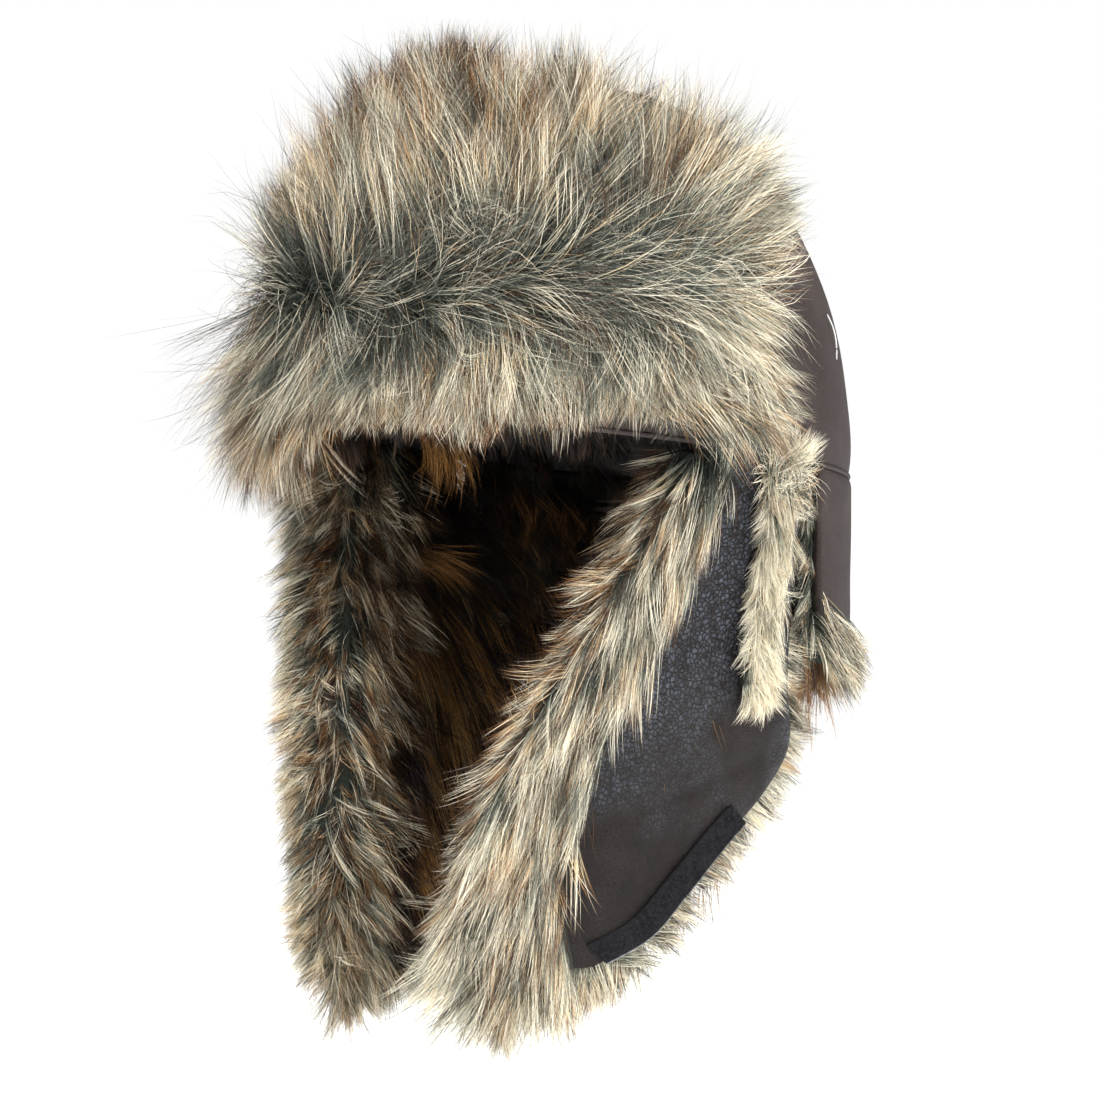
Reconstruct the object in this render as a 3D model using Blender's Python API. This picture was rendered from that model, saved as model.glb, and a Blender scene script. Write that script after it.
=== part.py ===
"""Trapper hat: a padded leather crown with a turned-up fur front flap, two ear flaps and a neck flap.

Built in millimetres and written out in metres. The origin is the centre of the head opening at the level of
the crown's rear edge. +Z is up, the face looks along -Y, and the wearer's left is +X.

Angles round the head (turn) start at the wearer's left ear and run towards the face, so 90 is the brow,
180 the right ear and -90 the nape. Every sheet is a patch of a surface, thickened along its normal.
"""
import math

import bmesh
import bpy
from mathutils import Vector

MM = 0.001

# Head opening and crown, measured on the inside face of the lining.
HEAD_HALF_WIDTH = 85.0
HEAD_HALF_DEPTH = 105.0
CROWN_HEIGHT = 145.0
CROWN_FULLNESS = 2.2
BROW_RISE = 30.0
CROWN_TOP_RATIO = 0.03
GORE_COLUMNS = 8
GORE_ROWS = 8

# Sandwich of the crown and flaps, as distances out from the inside face.
SHEET_GAP = 0.5
PAD_GAP = 1.2
LINING_THICK = 4.0
WADDING_THICK = 3.0
LEATHER_THICK = 1.2
WADDING_IN = LINING_THICK + SHEET_GAP
LEATHER_IN = WADDING_IN + WADDING_THICK + SHEET_GAP
LEATHER_OUT = LEATHER_IN + LEATHER_THICK
SEAM_HALF_GAP = 0.3
FLAP_SEAM_GAP = 0.8

# Sweatband inside the lower edge.
SWEATBAND_THICK = 1.0
SWEATBAND_TOP = math.radians(10.0)
SWEATBAND_BUTT = math.radians(0.4)

# Front flap, standing a little off the crown.
FRONT_RISE_ENDS = 66.0
FRONT_RISE_BROW = 42.0
FRONT_RISE_SPREAD = 0.6
FRONT_LEAN = 14.0
FRONT_CLEAR = 3.0
FRONT_BACKING = 1.2
INTERFACING_THICK = 1.0
FRONT_PILE = 22.0
FRONT_PILE_EDGE = 4.0
FRONT_END = math.radians(10.0)
FRONT_FUR_PAST = math.radians(4.0)
FRONT_FUR_TOP = 1.15
FRONT_LOW_AT_ENDS = 0.25
FRONT_COLUMNS = 22
FRONT_ROWS = 5

# Ear flaps. Each table holds (drop below the crown's edge, angle round the head in degrees).
EAR_LENGTH = 190.0
EAR_TAPER = 0.16
EAR_FLARE = 0.06
EAR_REAR_EDGE = ((0, -11), (45, -11), (85, -14), (108, -17), (125, -11), (145, 1), (165, 11), (180, 19),
                 (190, 31))
EAR_FRONT_EDGE = ((0, 19), (45, 30), (95, 44), (145, 55), (170, 56), (190, 50))
TRIM_BACK_EDGE = ((0, 12), (45, 22), (95, 33), (140, 40), (170, 41), (208, 38))
TRIM_FRONT_EDGE = ((0, 22), (45, 34), (95, 49), (140, 61), (170, 63), (190, 58), (208, 48))
EAR_COLUMNS = 7
EAR_ROWS = 13
EAR_PILE = 8.0
TRIM_TOP = 12.0
TRIM_BOTTOM = 208.0
TRIM_PILE = 14.0
TRIM_FULL_FROM = 0.3
PAD_EDGE = 3.0
STRIP_TOP = 3.0
STRIP_BOTTOM = 90.0
STRIP_FRONT_TURN = 4.5
STRIP_REAR_TURN = -6.0
STRIP_PILE = 9.0

# Hook-and-loop closure along the lower back edge of each ear flap.
CLOSURE_START = 138.0
CLOSURE_END = 188.0
CLOSURE_WIDTH_TURN = 4.6
CLOSURE_LIFT = 7.0
CLOSURE_EDGE_TURN = 0.6
CLOSURE_THICK = 2.0
CLOSURE_GAP = 0.9

# Neck flap between the two ear flaps.
NECK_SIDE_TURN = -17.5
NECK_BOTTOM = -58.0
NECK_FUR_BOTTOM = -80.0
NECK_FUR_DIP = 18.0
NECK_CORNER = 18.0
NECK_COLUMNS = 16
NECK_ROWS = 4
NECK_PILE = 6.0

# Hinge lines of the flaps, just outside the leather at the seam gap.
HINGE_OUT = LEATHER_OUT + 0.2
FRONT_HINGE_OUT = LEATHER_OUT + 0.6 * FRONT_CLEAR

LEATHER = ("brown_leather", (0.055, 0.040, 0.034, 1.0), 0.6)
CRACKLE = ("crackle_leather", (0.045, 0.038, 0.036, 1.0), 0.45)
FUR = ("faux_fur", (0.45, 0.42, 0.33, 1.0), 0.9)
DARK_FUR = ("lining_fur", (0.16, 0.12, 0.08, 1.0), 0.9)
WADDING = ("wadding", (0.80, 0.80, 0.78, 1.0), 0.95)
STIFFENER = ("interfacing", (0.70, 0.70, 0.68, 1.0), 0.9)
TAPE = ("closure_tape", (0.012, 0.012, 0.013, 1.0), 0.8)
BAND = ("sweatband", (0.03, 0.03, 0.03, 1.0), 0.7)


def clear_scene():
    """Remove whatever the file opened with."""
    for item in list(bpy.data.objects):
        bpy.data.objects.remove(item, do_unlink=True)


def material(look):
    """A plain Principled material from (name, colour, roughness), made once."""
    name, colour, roughness = look
    made = bpy.data.materials.get(name)
    if made is None:
        made = bpy.data.materials.new(name)
        made.use_nodes = True
        shader = made.node_tree.nodes["Principled BSDF"]
        shader.inputs["Base Color"].default_value = colour
        shader.inputs["Roughness"].default_value = roughness
        made.diffuse_color = colour
    return made


def mix(low, high, share):
    """Straight mix of two numbers."""
    return low + (high - low) * share


def smooth_table(table, position):
    """Smooth curve through the (position, value) pairs of a table."""
    last = len(table) - 2
    index = 0
    while index < last and position > table[index + 1][0]:
        index += 1
    x0, y0 = table[index]
    x1, y1 = table[index + 1]
    before = table[index - 1] if index > 0 else (2 * x0 - x1, 2 * y0 - y1)
    after = table[index + 2] if index < last else (2 * x1 - x0, 2 * y1 - y0)
    slope0 = (y1 - before[1]) / (x1 - before[0])
    slope1 = (after[1] - y0) / (after[0] - x0)
    span = x1 - x0
    t = (position - x0) / span
    keep = (1 + 2 * t) * (1 - t) ** 2
    take = t * t * (3 - 2 * t)
    return keep * y0 + take * y1 + span * (t * (1 - t) ** 2 * slope0 - t * t * (1 - t) * slope1)


def edge_height(depth):
    """Height of the crown's lower edge: level with the origin at the nape and higher at the brow."""
    return BROW_RISE * (HEAD_HALF_DEPTH - depth) / (2 * HEAD_HALF_DEPTH)


def crown_surface(turn, climb):
    """Inside face of the crown. climb runs from 0 at the lower edge to a quarter turn at the top."""
    ring = math.cos(climb)
    x = HEAD_HALF_WIDTH * ring * math.cos(turn)
    y = -HEAD_HALF_DEPTH * ring * math.sin(turn)
    rise = max(math.sin(climb), 0.0) ** (2 / CROWN_FULLNESS)
    edge = edge_height(-HEAD_HALF_DEPTH * math.sin(turn))
    return Vector((x, y, edge + (CROWN_HEIGHT - edge) * rise))


def ear_surface(turn, drop):
    """Inside face of an ear flap, narrowing towards the jaw and reaching forward to the chin."""
    half_width = HEAD_HALF_WIDTH - EAR_TAPER * drop
    half_depth = HEAD_HALF_DEPTH + EAR_FLARE * drop
    y = -half_depth * math.sin(turn)
    edge = edge_height(-HEAD_HALF_DEPTH * math.sin(turn))
    side_edge = edge_height(0.0)
    level = mix(edge, side_edge, min(drop / EAR_LENGTH, 1.0))
    return Vector((half_width * math.cos(turn), y, level - drop))


def neck_surface(turn, height):
    """Inside face of the neck flap, straight up and down."""
    return Vector((HEAD_HALF_WIDTH * math.cos(turn), -HEAD_HALF_DEPTH * math.sin(turn), height))


def front_surface(turn, share):
    """Crown-side face of the front flap. share runs from 0 at the brow seam to 1 at the top edge."""
    edge = edge_height(-HEAD_HALF_DEPTH * math.sin(turn))
    rise = FRONT_RISE_ENDS + FRONT_RISE_BROW * max(math.sin(turn), 0.0) ** FRONT_RISE_SPREAD
    climbed = rise * share / (FRONT_RISE_ENDS + FRONT_RISE_BROW)
    stand = LEATHER_OUT + FRONT_CLEAR - FRONT_LEAN * climbed * climbed
    x = (HEAD_HALF_WIDTH + stand) * math.cos(turn)
    y = -(HEAD_HALF_DEPTH + stand) * math.sin(turn)
    return Vector((x, y, edge + 2 * FLAP_SEAM_GAP + rise * share))


def offset_point(surface, first, second, distance):
    """Point at a distance out from a surface along its normal."""
    step = 0.002
    point = surface(first, second)
    across = surface(first + step, second) - surface(first - step, second)
    along = surface(first, second + step) - surface(first, second - step)
    normal = across.cross(along).normalized()
    if normal.dot(Vector((point.x, point.y, max(point.z, 0.0)))) < 0:
        normal.negate()
    return point + distance * normal


def bulge(share):
    """Full in the middle and zero at both ends, with soft shoulders."""
    return 1.0 - abs(2.0 * share - 1.0) ** 4


def hinge(name, place):
    """Empty on a flap's turning axis, which the flap's pieces hang from."""
    made = bpy.data.objects.new(name, None)
    made.location = place * MM
    bpy.context.scene.collection.objects.link(made)
    return made


def slab(name, look, surface, size, place, inner, outer, mirror=False, parent=None):
    """Closed sheet between two offsets of a surface patch.

    size is (columns, rows), place(u, v) gives the surface coordinates of a grid point, and inner and outer
    give its two distances from the surface. mirror puts the sheet on the wearer's right, and parent is the
    empty that it hangs from.
    """
    origin = parent.location if parent else Vector()
    mesh = bmesh.new()
    bmesh.ops.create_grid(mesh, x_segments=size[0], y_segments=size[1], size=0.5)
    raised = bmesh.ops.extrude_face_region(mesh, geom=mesh.faces[:], use_keep_orig=True)
    lifted = {item for item in raised["geom"] if isinstance(item, bmesh.types.BMVert)}
    side = -1.0 if mirror else 1.0
    for vertex in mesh.verts:
        u = vertex.co.x + 0.5
        v = vertex.co.y + 0.5
        first, second = place(u, v)
        distance = outer(u, v) if vertex in lifted else inner(u, v)
        point = offset_point(surface, first, second, distance)
        vertex.co = Vector((side * point.x, point.y, point.z)) * MM - origin
    bmesh.ops.recalc_face_normals(mesh, faces=mesh.faces[:])
    if mesh.calc_volume(signed=True) < 0:
        bmesh.ops.reverse_faces(mesh, faces=mesh.faces[:])
    data = bpy.data.meshes.new(name)
    mesh.to_mesh(data)
    mesh.free()
    for face in data.polygons:
        face.use_smooth = True
    made = bpy.data.objects.new(name, data)
    made.data.materials.append(material(look))
    made.parent = parent
    bpy.context.scene.collection.objects.link(made)
    return made


def even(distance):
    """The same distance everywhere."""
    return lambda u, v: distance


def gore_place(quarter):
    """Patch of the crown in one quarter, stopping short of the seams by the same width all the way up."""
    top = math.acos(CROWN_TOP_RATIO)

    def place(u, v):
        climb = mix(0.0, top, v)
        ring = math.cos(climb)
        low = math.asin(SEAM_HALF_GAP / (HEAD_HALF_DEPTH * ring))
        high = math.acos(SEAM_HALF_GAP / (HEAD_HALF_WIDTH * ring))
        turn = mix(low, high, u)
        if quarter % 2:
            turn = math.pi - turn
        if quarter >= 2:
            turn += math.pi
        return turn, climb

    return place


def build_crown():
    """Four gores of leather, wadding and lining, and the sweatband."""
    quarters = ("front_left", "front_right", "rear_right", "rear_left")
    size = (GORE_COLUMNS, GORE_ROWS)
    for quarter, where in enumerate(quarters):
        place = gore_place(quarter)
        slab(f"crown_gore_{where}", LEATHER, crown_surface, size, place, even(LEATHER_IN), even(LEATHER_OUT))
        slab(f"crown_wadding_{where}", WADDING, crown_surface, size, place,
             even(WADDING_IN), even(WADDING_IN + WADDING_THICK))
        slab(f"crown_lining_{where}", DARK_FUR, crown_surface, size, place, even(0.0), even(LINING_THICK))

    def band_place(u, v):
        turn = mix(-math.pi / 2 + SWEATBAND_BUTT, 1.5 * math.pi - SWEATBAND_BUTT, u)
        return turn, mix(0.0, SWEATBAND_TOP, v)

    slab("sweatband", BAND, crown_surface, (4 * GORE_COLUMNS, 1), band_place,
         even(-SHEET_GAP - SWEATBAND_THICK), even(-SHEET_GAP))


def build_front_flap():
    """Backing, interfacing and fur panel of the turned-up front flap."""
    size = (FRONT_COLUMNS, FRONT_ROWS)
    stiffener_in = FRONT_BACKING + SHEET_GAP
    stiffener_out = stiffener_in + INTERFACING_THICK
    fur_in = stiffener_out + PAD_GAP

    def patch(end, top):
        def place(u, v):
            turn = mix(end, math.pi - end, u)
            lower_edge = FRONT_LOW_AT_ENDS * (1.0 - max(math.sin(turn), 0.0))
            return turn, mix(lower_edge, top, v)

        return place

    panel = patch(FRONT_END, 1.0)
    fur = patch(FRONT_END - FRONT_FUR_PAST, FRONT_FUR_TOP)

    def fur_face(u, v):
        swell = bulge(u) ** 0.5 * bulge(v) ** 0.5
        return fur_in + FRONT_PILE_EDGE + (FRONT_PILE - FRONT_PILE_EDGE) * swell

    brow = edge_height(-HEAD_HALF_DEPTH) + FLAP_SEAM_GAP
    turning = hinge("front_flap_hinge", Vector((0.0, -HEAD_HALF_DEPTH - FRONT_HINGE_OUT, brow)))
    slab("front_flap_backing", LEATHER, front_surface, size, panel,
         even(0.0), even(FRONT_BACKING), parent=turning)
    slab("front_flap_interfacing", STIFFENER, front_surface, size, panel,
         even(stiffener_in), even(stiffener_out), parent=turning)
    slab("front_flap_fur", FUR, front_surface, size, fur, even(fur_in), fur_face, parent=turning)


def ear_place(u, v):
    """Patch of the whole ear flap, from its rear edge to its front edge."""
    drop = mix(FLAP_SEAM_GAP, EAR_LENGTH, v)
    turn = mix(smooth_table(EAR_REAR_EDGE, drop), smooth_table(EAR_FRONT_EDGE, drop), u)
    return math.radians(turn), drop


def trim_place(u, v):
    """Patch under the front fur trim."""
    drop = mix(TRIM_TOP, TRIM_BOTTOM, v)
    turn = mix(smooth_table(TRIM_BACK_EDGE, drop), smooth_table(TRIM_FRONT_EDGE, drop), u)
    return math.radians(turn), drop


def strip_place(u, v):
    """Patch under the short fur strip at the rear edge."""
    drop = mix(STRIP_TOP, STRIP_BOTTOM, v)
    return math.radians(mix(STRIP_REAR_TURN, STRIP_FRONT_TURN, u)), drop


def closure_place(u, v):
    """Patch of the closure tape, along the lower back edge."""
    drop = mix(CLOSURE_START, CLOSURE_END, v)
    turn = smooth_table(EAR_REAR_EDGE, drop) + CLOSURE_EDGE_TURN + CLOSURE_WIDTH_TURN * u
    return math.radians(turn), drop - CLOSURE_LIFT * u


def build_ear_flap(side):
    """Leather, wadding, lining, two fur trims and the closure tape of one ear flap."""
    right = side == "right"
    size = (EAR_COLUMNS, EAR_ROWS)
    trim_in = LEATHER_OUT + PAD_GAP
    out = HEAD_HALF_WIDTH + HINGE_OUT
    seam = edge_height(0.0) - FLAP_SEAM_GAP / 2
    turning = hinge(f"{side}_ear_flap_hinge", Vector((-out if right else out, 0.0, seam)))

    def lining_face(u, v):
        clear_of_tape = min(max((u - 0.5) / 0.3, 0.0), 1.0) if v > 0.5 else 1.0
        return -EAR_PILE * bulge(u) * bulge(v) * clear_of_tape

    def trim_face(u, v):
        thin_at_top = min(v / TRIM_FULL_FROM, 1.0)
        return trim_in + PAD_EDGE + (TRIM_PILE - PAD_EDGE) * bulge(u) * thin_at_top * bulge(v)

    def strip_face(u, v):
        return trim_in + PAD_EDGE + (STRIP_PILE - PAD_EDGE) * bulge(u) * bulge(v)

    slab(f"{side}_ear_flap_leather", CRACKLE, ear_surface, size, ear_place,
         even(LEATHER_IN), even(LEATHER_OUT), mirror=right, parent=turning)
    slab(f"{side}_ear_flap_wadding", WADDING, ear_surface, size, ear_place,
         even(WADDING_IN), even(WADDING_IN + WADDING_THICK), mirror=right, parent=turning)
    slab(f"{side}_ear_flap_fur_lining", FUR, ear_surface, size, ear_place,
         lining_face, even(LINING_THICK), mirror=right, parent=turning)
    slab(f"{side}_ear_flap_front_trim", FUR, ear_surface, (4, 12), trim_place,
         even(trim_in), trim_face, mirror=right, parent=turning)
    slab(f"{side}_ear_flap_rear_trim", FUR, ear_surface, (3, 6), strip_place,
         even(trim_in), strip_face, mirror=right, parent=turning)
    if right:
        slab("right_closure_hook_strip", TAPE, ear_surface, (2, 6), closure_place,
             even(-CLOSURE_GAP - CLOSURE_THICK), even(-CLOSURE_GAP), mirror=True, parent=turning)
    else:
        slab("left_closure_loop_strip", TAPE, ear_surface, (2, 6), closure_place,
             even(LEATHER_OUT + CLOSURE_GAP), even(LEATHER_OUT + CLOSURE_GAP + CLOSURE_THICK), parent=turning)


def neck_place(bottom, dip):
    """Patch of the neck flap down to a level, with rounded corners. Its middle hangs lower by dip."""

    def place(u, v):
        from_end = min(u, 1.0 - u) * 2.0
        side = math.radians(NECK_SIDE_TURN)
        turn = mix(side, -math.pi - side, u)
        arc = from_end * math.radians(90.0 + NECK_SIDE_TURN) * HEAD_HALF_DEPTH
        cut = max(1.0 - arc / NECK_CORNER, 0.0)
        lift = NECK_CORNER * (1.0 - math.sqrt(1.0 - cut * cut))
        top = edge_height(-HEAD_HALF_DEPTH * math.sin(turn)) - FLAP_SEAM_GAP
        return turn, mix(top, bottom + lift - dip * from_end, v)

    return place


def build_neck_flap():
    """Leather, wadding and fur lining of the neck flap."""
    size = (NECK_COLUMNS, NECK_ROWS)
    place = neck_place(NECK_BOTTOM, 0.0)

    def lining_face(u, v):
        return -NECK_PILE * bulge(u) * bulge(v)

    nape = edge_height(HEAD_HALF_DEPTH) - FLAP_SEAM_GAP / 2
    turning = hinge("neck_flap_hinge", Vector((0.0, HEAD_HALF_DEPTH + HINGE_OUT, nape)))
    slab("neck_flap_leather", LEATHER, neck_surface, size, place,
         even(LEATHER_IN), even(LEATHER_OUT), parent=turning)
    slab("neck_flap_wadding", WADDING, neck_surface, size, place,
         even(WADDING_IN), even(WADDING_IN + WADDING_THICK), parent=turning)
    slab("neck_flap_fur_lining", FUR, neck_surface, size, neck_place(NECK_FUR_BOTTOM, NECK_FUR_DIP),
         lining_face, even(LINING_THICK), parent=turning)


def main():
    """Build the whole hat."""
    clear_scene()
    build_crown()
    build_front_flap()
    build_ear_flap("left")
    build_ear_flap("right")
    build_neck_flap()


main()
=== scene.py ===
"""Trapper hat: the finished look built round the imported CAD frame.

Lengths are in metres in the hat's own frame: the origin is the centre of the head opening at the nape's
level, +Z is up, the face looks along -Y and the wearer's left is +X. Angles round the head (turn) start at
the left ear and run towards the face, so 90 degrees is the brow and -90 the nape.
"""

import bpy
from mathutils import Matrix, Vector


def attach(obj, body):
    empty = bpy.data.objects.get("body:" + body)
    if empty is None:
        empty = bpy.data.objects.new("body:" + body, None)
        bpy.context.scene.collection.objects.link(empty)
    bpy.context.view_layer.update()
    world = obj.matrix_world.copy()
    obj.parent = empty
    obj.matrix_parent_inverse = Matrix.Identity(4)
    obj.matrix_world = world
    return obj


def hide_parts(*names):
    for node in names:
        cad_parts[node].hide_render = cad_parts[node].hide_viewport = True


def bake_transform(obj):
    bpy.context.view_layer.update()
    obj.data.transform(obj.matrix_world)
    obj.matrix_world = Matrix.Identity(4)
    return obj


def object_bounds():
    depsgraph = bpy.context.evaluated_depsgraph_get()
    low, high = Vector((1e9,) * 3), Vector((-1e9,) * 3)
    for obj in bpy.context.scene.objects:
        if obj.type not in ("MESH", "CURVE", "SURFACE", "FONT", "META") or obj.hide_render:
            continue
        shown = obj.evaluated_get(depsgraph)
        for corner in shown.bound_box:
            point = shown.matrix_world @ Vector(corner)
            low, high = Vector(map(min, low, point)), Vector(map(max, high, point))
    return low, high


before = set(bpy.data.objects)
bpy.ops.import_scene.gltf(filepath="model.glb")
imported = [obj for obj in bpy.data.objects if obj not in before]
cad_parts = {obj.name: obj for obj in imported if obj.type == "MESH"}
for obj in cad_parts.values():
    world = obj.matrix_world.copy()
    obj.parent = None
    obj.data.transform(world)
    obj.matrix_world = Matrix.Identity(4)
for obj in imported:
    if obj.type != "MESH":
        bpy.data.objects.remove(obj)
CAD_BOUNDS = [list(corner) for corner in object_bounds()]

import functools
import math

import bpy
import numpy as np
from mathutils import Vector

MM = 0.001
UP = np.array((0.0, 0.0, 1.0))

# The surfaces of part.py, in metres.
HALF_WIDTH = 85 * MM
HALF_DEPTH = 105 * MM
CROWN_HEIGHT = 145 * MM
CROWN_FULLNESS = 2.2
BROW_RISE = 30 * MM
CROWN_TOP_RATIO = 0.03
LINING_OUT = 4.0 * MM
WADDING_IN = 4.5 * MM
WADDING_OUT = 7.5 * MM
LEATHER_IN = 8.0 * MM
LEATHER_OUT = 9.2 * MM
FLAP_GAP = 0.8 * MM
FRONT_RISE_ENDS = 66 * MM
FRONT_RISE_BROW = 42 * MM
FRONT_RISE_SPREAD = 0.6
FRONT_LEAN = 14 * MM
FRONT_STAND = LEATHER_OUT + 3.0 * MM
FRONT_FUR_IN = 3.9 * MM
EAR_LENGTH = 190 * MM
EAR_TAPER = 0.16
EAR_FLARE = 0.06
EAR_REAR_EDGE = ((0, -11), (45, -11), (85, -14), (108, -17), (125, -11), (145, 1), (165, 11), (180, 19),
                 (190, 31))
EAR_FRONT_EDGE = ((0, 19), (45, 30), (95, 44), (145, 55), (170, 56), (190, 50))
TRIM_BACK_EDGE = ((0, 12), (45, 22), (95, 33), (140, 40), (170, 41), (208, 38))
TRIM_FRONT_EDGE = ((0, 22), (45, 34), (95, 49), (140, 61), (170, 63), (190, 58), (208, 48))
# Share of the front flap's height, and height in mm of its hair tips, by angle round the head in degrees.
FRONT_TOP_EDGE = ((0, 1.03), (80, 1.03), (95, 0.97), (108, 0.86), (130, 0.84), (180, 0.88))
FRONT_TIPS = ((0, 108), (15, 134), (30, 153), (45, 166), (60, 174), (75, 174), (90, 162), (105, 139),
              (125, 120), (150, 106), (180, 96))
NECK_SIDE = math.radians(-17.5)
NECK_BOTTOM = -58 * MM
NECK_CORNER = 18 * MM

# Tones along the colour map of the fur, from dark guard hairs to white fibres.
TONE_GUARD = 0.05
TONE_BROWN = 0.20
TONE_WARM = 0.35
TONE_CREAM = 0.50
TONE_WHITE = 0.62
TONE_SAGE = 0.76
TONE_MOSS = 0.92

# Hair: points along each one, how tufts gather into clumps, and how much hairs differ.
HAIR_STEPS = 6
TUFTS_IN_CLUMP = 6
TUFTS_ALONE = 0.4
CLUMP_PULL = 0.45
GUARD_SHARE = 0.22
RUFFLE = 0.20
VARIETY = 0.125
FUR_SHARE = 1.0

# Hair that would reach further than this outside the CAD is left out.
ROOM = 9 * MM + 0.03 * (np.array(CAD_BOUNDS[1]) - np.array(CAD_BOUNDS[0]))
LOWEST = np.array(CAD_BOUNDS[0]) - ROOM
HIGHEST = np.array(CAD_BOUNDS[1]) + ROOM


# ---------------------------------------------------------------- surfaces

def smooth_table(table, position):
    """Smooth curve through the (position, value) pairs of a table, for arrays."""
    knots = np.array(table, float)
    x, y = knots[:, 0], knots[:, 1]
    slope = np.empty(len(x))
    slope[1:-1] = (y[2:] - y[:-2]) / (x[2:] - x[:-2])
    slope[0] = (y[1] - y[0]) / (x[1] - x[0])
    slope[-1] = (y[-1] - y[-2]) / (x[-1] - x[-2])
    i = np.clip(np.searchsorted(x, position, side="right") - 1, 0, len(x) - 2)
    span = x[i + 1] - x[i]
    t = (position - x[i]) / span
    keep = (1 + 2 * t) * (1 - t) ** 2
    take = t * t * (3 - 2 * t)
    bend = t * (1 - t) ** 2 * slope[i] - t * t * (1 - t) * slope[i + 1]
    return keep * y[i] + take * y[i + 1] + span * bend


def mix(low, high, share):
    """Straight mix of two values."""
    return low + (high - low) * share


def unit(vectors):
    """Vectors scaled to length one."""
    return vectors / np.maximum(np.linalg.norm(vectors, axis=-1, keepdims=True), 1e-12)


def edge_height(y):
    """Height of the crown's lower edge at a depth y."""
    return BROW_RISE * (HALF_DEPTH - y) / (2 * HALF_DEPTH)


def crown_surface(turn, climb):
    """Inside face of the crown."""
    ring = np.cos(climb)
    rise = np.maximum(np.sin(climb), 0) ** (2 / CROWN_FULLNESS)
    edge = edge_height(-HALF_DEPTH * np.sin(turn))
    z = edge + (CROWN_HEIGHT - edge) * rise
    return np.stack((HALF_WIDTH * ring * np.cos(turn), -HALF_DEPTH * ring * np.sin(turn), z), -1)


def ear_surface(turn, drop):
    """Inside face of an ear flap."""
    width = HALF_WIDTH - EAR_TAPER * drop
    depth = HALF_DEPTH + EAR_FLARE * drop
    edge = edge_height(-HALF_DEPTH * np.sin(turn))
    level = mix(edge, edge_height(0.0), np.clip(drop / EAR_LENGTH, 0, 1))
    return np.stack((width * np.cos(turn), -depth * np.sin(turn), level - drop), -1)


def neck_surface(turn, height):
    """Inside face of the neck flap."""
    return np.stack((HALF_WIDTH * np.cos(turn), -HALF_DEPTH * np.sin(turn), height + 0 * turn), -1)


def front_surface(turn, share):
    """Crown-side face of the front flap."""
    edge = edge_height(-HALF_DEPTH * np.sin(turn))
    rise = FRONT_RISE_ENDS + FRONT_RISE_BROW * np.maximum(np.sin(turn), 0) ** FRONT_RISE_SPREAD
    climbed = rise * share / (FRONT_RISE_ENDS + FRONT_RISE_BROW)
    stand = FRONT_STAND - FRONT_LEAN * climbed * climbed
    x = (HALF_WIDTH + stand) * np.cos(turn)
    y = -(HALF_DEPTH + stand) * np.sin(turn)
    return np.stack((x, y, edge + 2 * FLAP_GAP + rise * share), -1)


def frame_on(surface, first, second):
    """Point, unit directions of both coordinates and outward normal of a surface."""
    step = 0.001
    point = surface(first, second)
    across = unit(surface(first + step, second) - surface(first - step, second))
    along = unit(surface(first, second + step) - surface(first, second - step))
    normal = unit(np.cross(across, along))
    outward = point * (1, 1, 0) + np.stack((0 * first, 0 * first, np.maximum(point[..., 2], 0)), -1)
    normal = normal * np.where((normal * outward).sum(-1) < 0, -1.0, 1.0)[..., None]
    return point, across, along, normal


def ripple(points, scale, seed):
    """Smooth noise of about -1 to 1, from a few waves in fixed directions."""
    rng = np.random.default_rng(seed)
    total = np.zeros(points.shape[:-1])
    for _ in range(7):
        wave = rng.normal(size=3)
        wave *= rng.uniform(0.6, 1.6) * 2 * math.pi / (scale * np.linalg.norm(wave))
        total += np.sin(points @ wave + rng.uniform(0, 2 * math.pi))
    return total / 3.5


# ---------------------------------------------------------------- places on the surfaces

def gore_place(quarter):
    """Patch of the crown in one quarter, up to its seams."""

    def place(u, v):
        climb = mix(0.0, math.acos(CROWN_TOP_RATIO), v)
        ring = np.cos(climb)
        low = np.arcsin(0.3 * MM / (HALF_DEPTH * ring))
        high = np.arccos(0.3 * MM / (HALF_WIDTH * ring))
        turn = mix(low, high, u)
        if quarter % 2:
            turn = math.pi - turn
        if quarter >= 2:
            turn = turn + math.pi
        return turn, climb

    return place


def ear_place(u, v):
    """Patch of a whole ear flap."""
    drop = mix(-0.2 * MM, EAR_LENGTH, v)
    rear = smooth_table(EAR_REAR_EDGE, drop / MM)
    front = smooth_table(EAR_FRONT_EDGE, drop / MM)
    return np.radians(mix(rear, front, u)), drop


def trim_place(u, v):
    """Patch of the front fur trim of an ear flap."""
    drop = mix(2 * MM, 206 * MM, v)
    back = smooth_table(TRIM_BACK_EDGE, drop / MM)
    front = smooth_table(TRIM_FRONT_EDGE, drop / MM)
    return np.radians(mix(back, front, u)), drop


def rim_place(u, v):
    """Patch along an ear flap's front edge, out to the edge of its fur trim."""
    drop = mix(3 * MM, 202 * MM, v)
    inner = smooth_table(EAR_FRONT_EDGE, np.minimum(drop, EAR_LENGTH) / MM) - 1.5
    outer = smooth_table(TRIM_FRONT_EDGE, drop / MM) - 0.5
    return np.radians(mix(inner, outer, u)), drop


def strip_place(u, v):
    """Patch of the short rear fur strip of an ear flap."""
    drop = mix(0 * MM, 86 * MM, v)
    return np.radians(mix(-6.0 + 3 * v * v, 4.5 - v, u)), drop


def closure_place(u, v):
    """Patch of the closure tape along the lower back edge of an ear flap."""
    drop = mix(138 * MM, 188 * MM, v)
    rear = smooth_table(EAR_REAR_EDGE, drop / MM)
    return np.radians(rear + 0.1 + 4.8 * u), drop - 7 * MM * u


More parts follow.
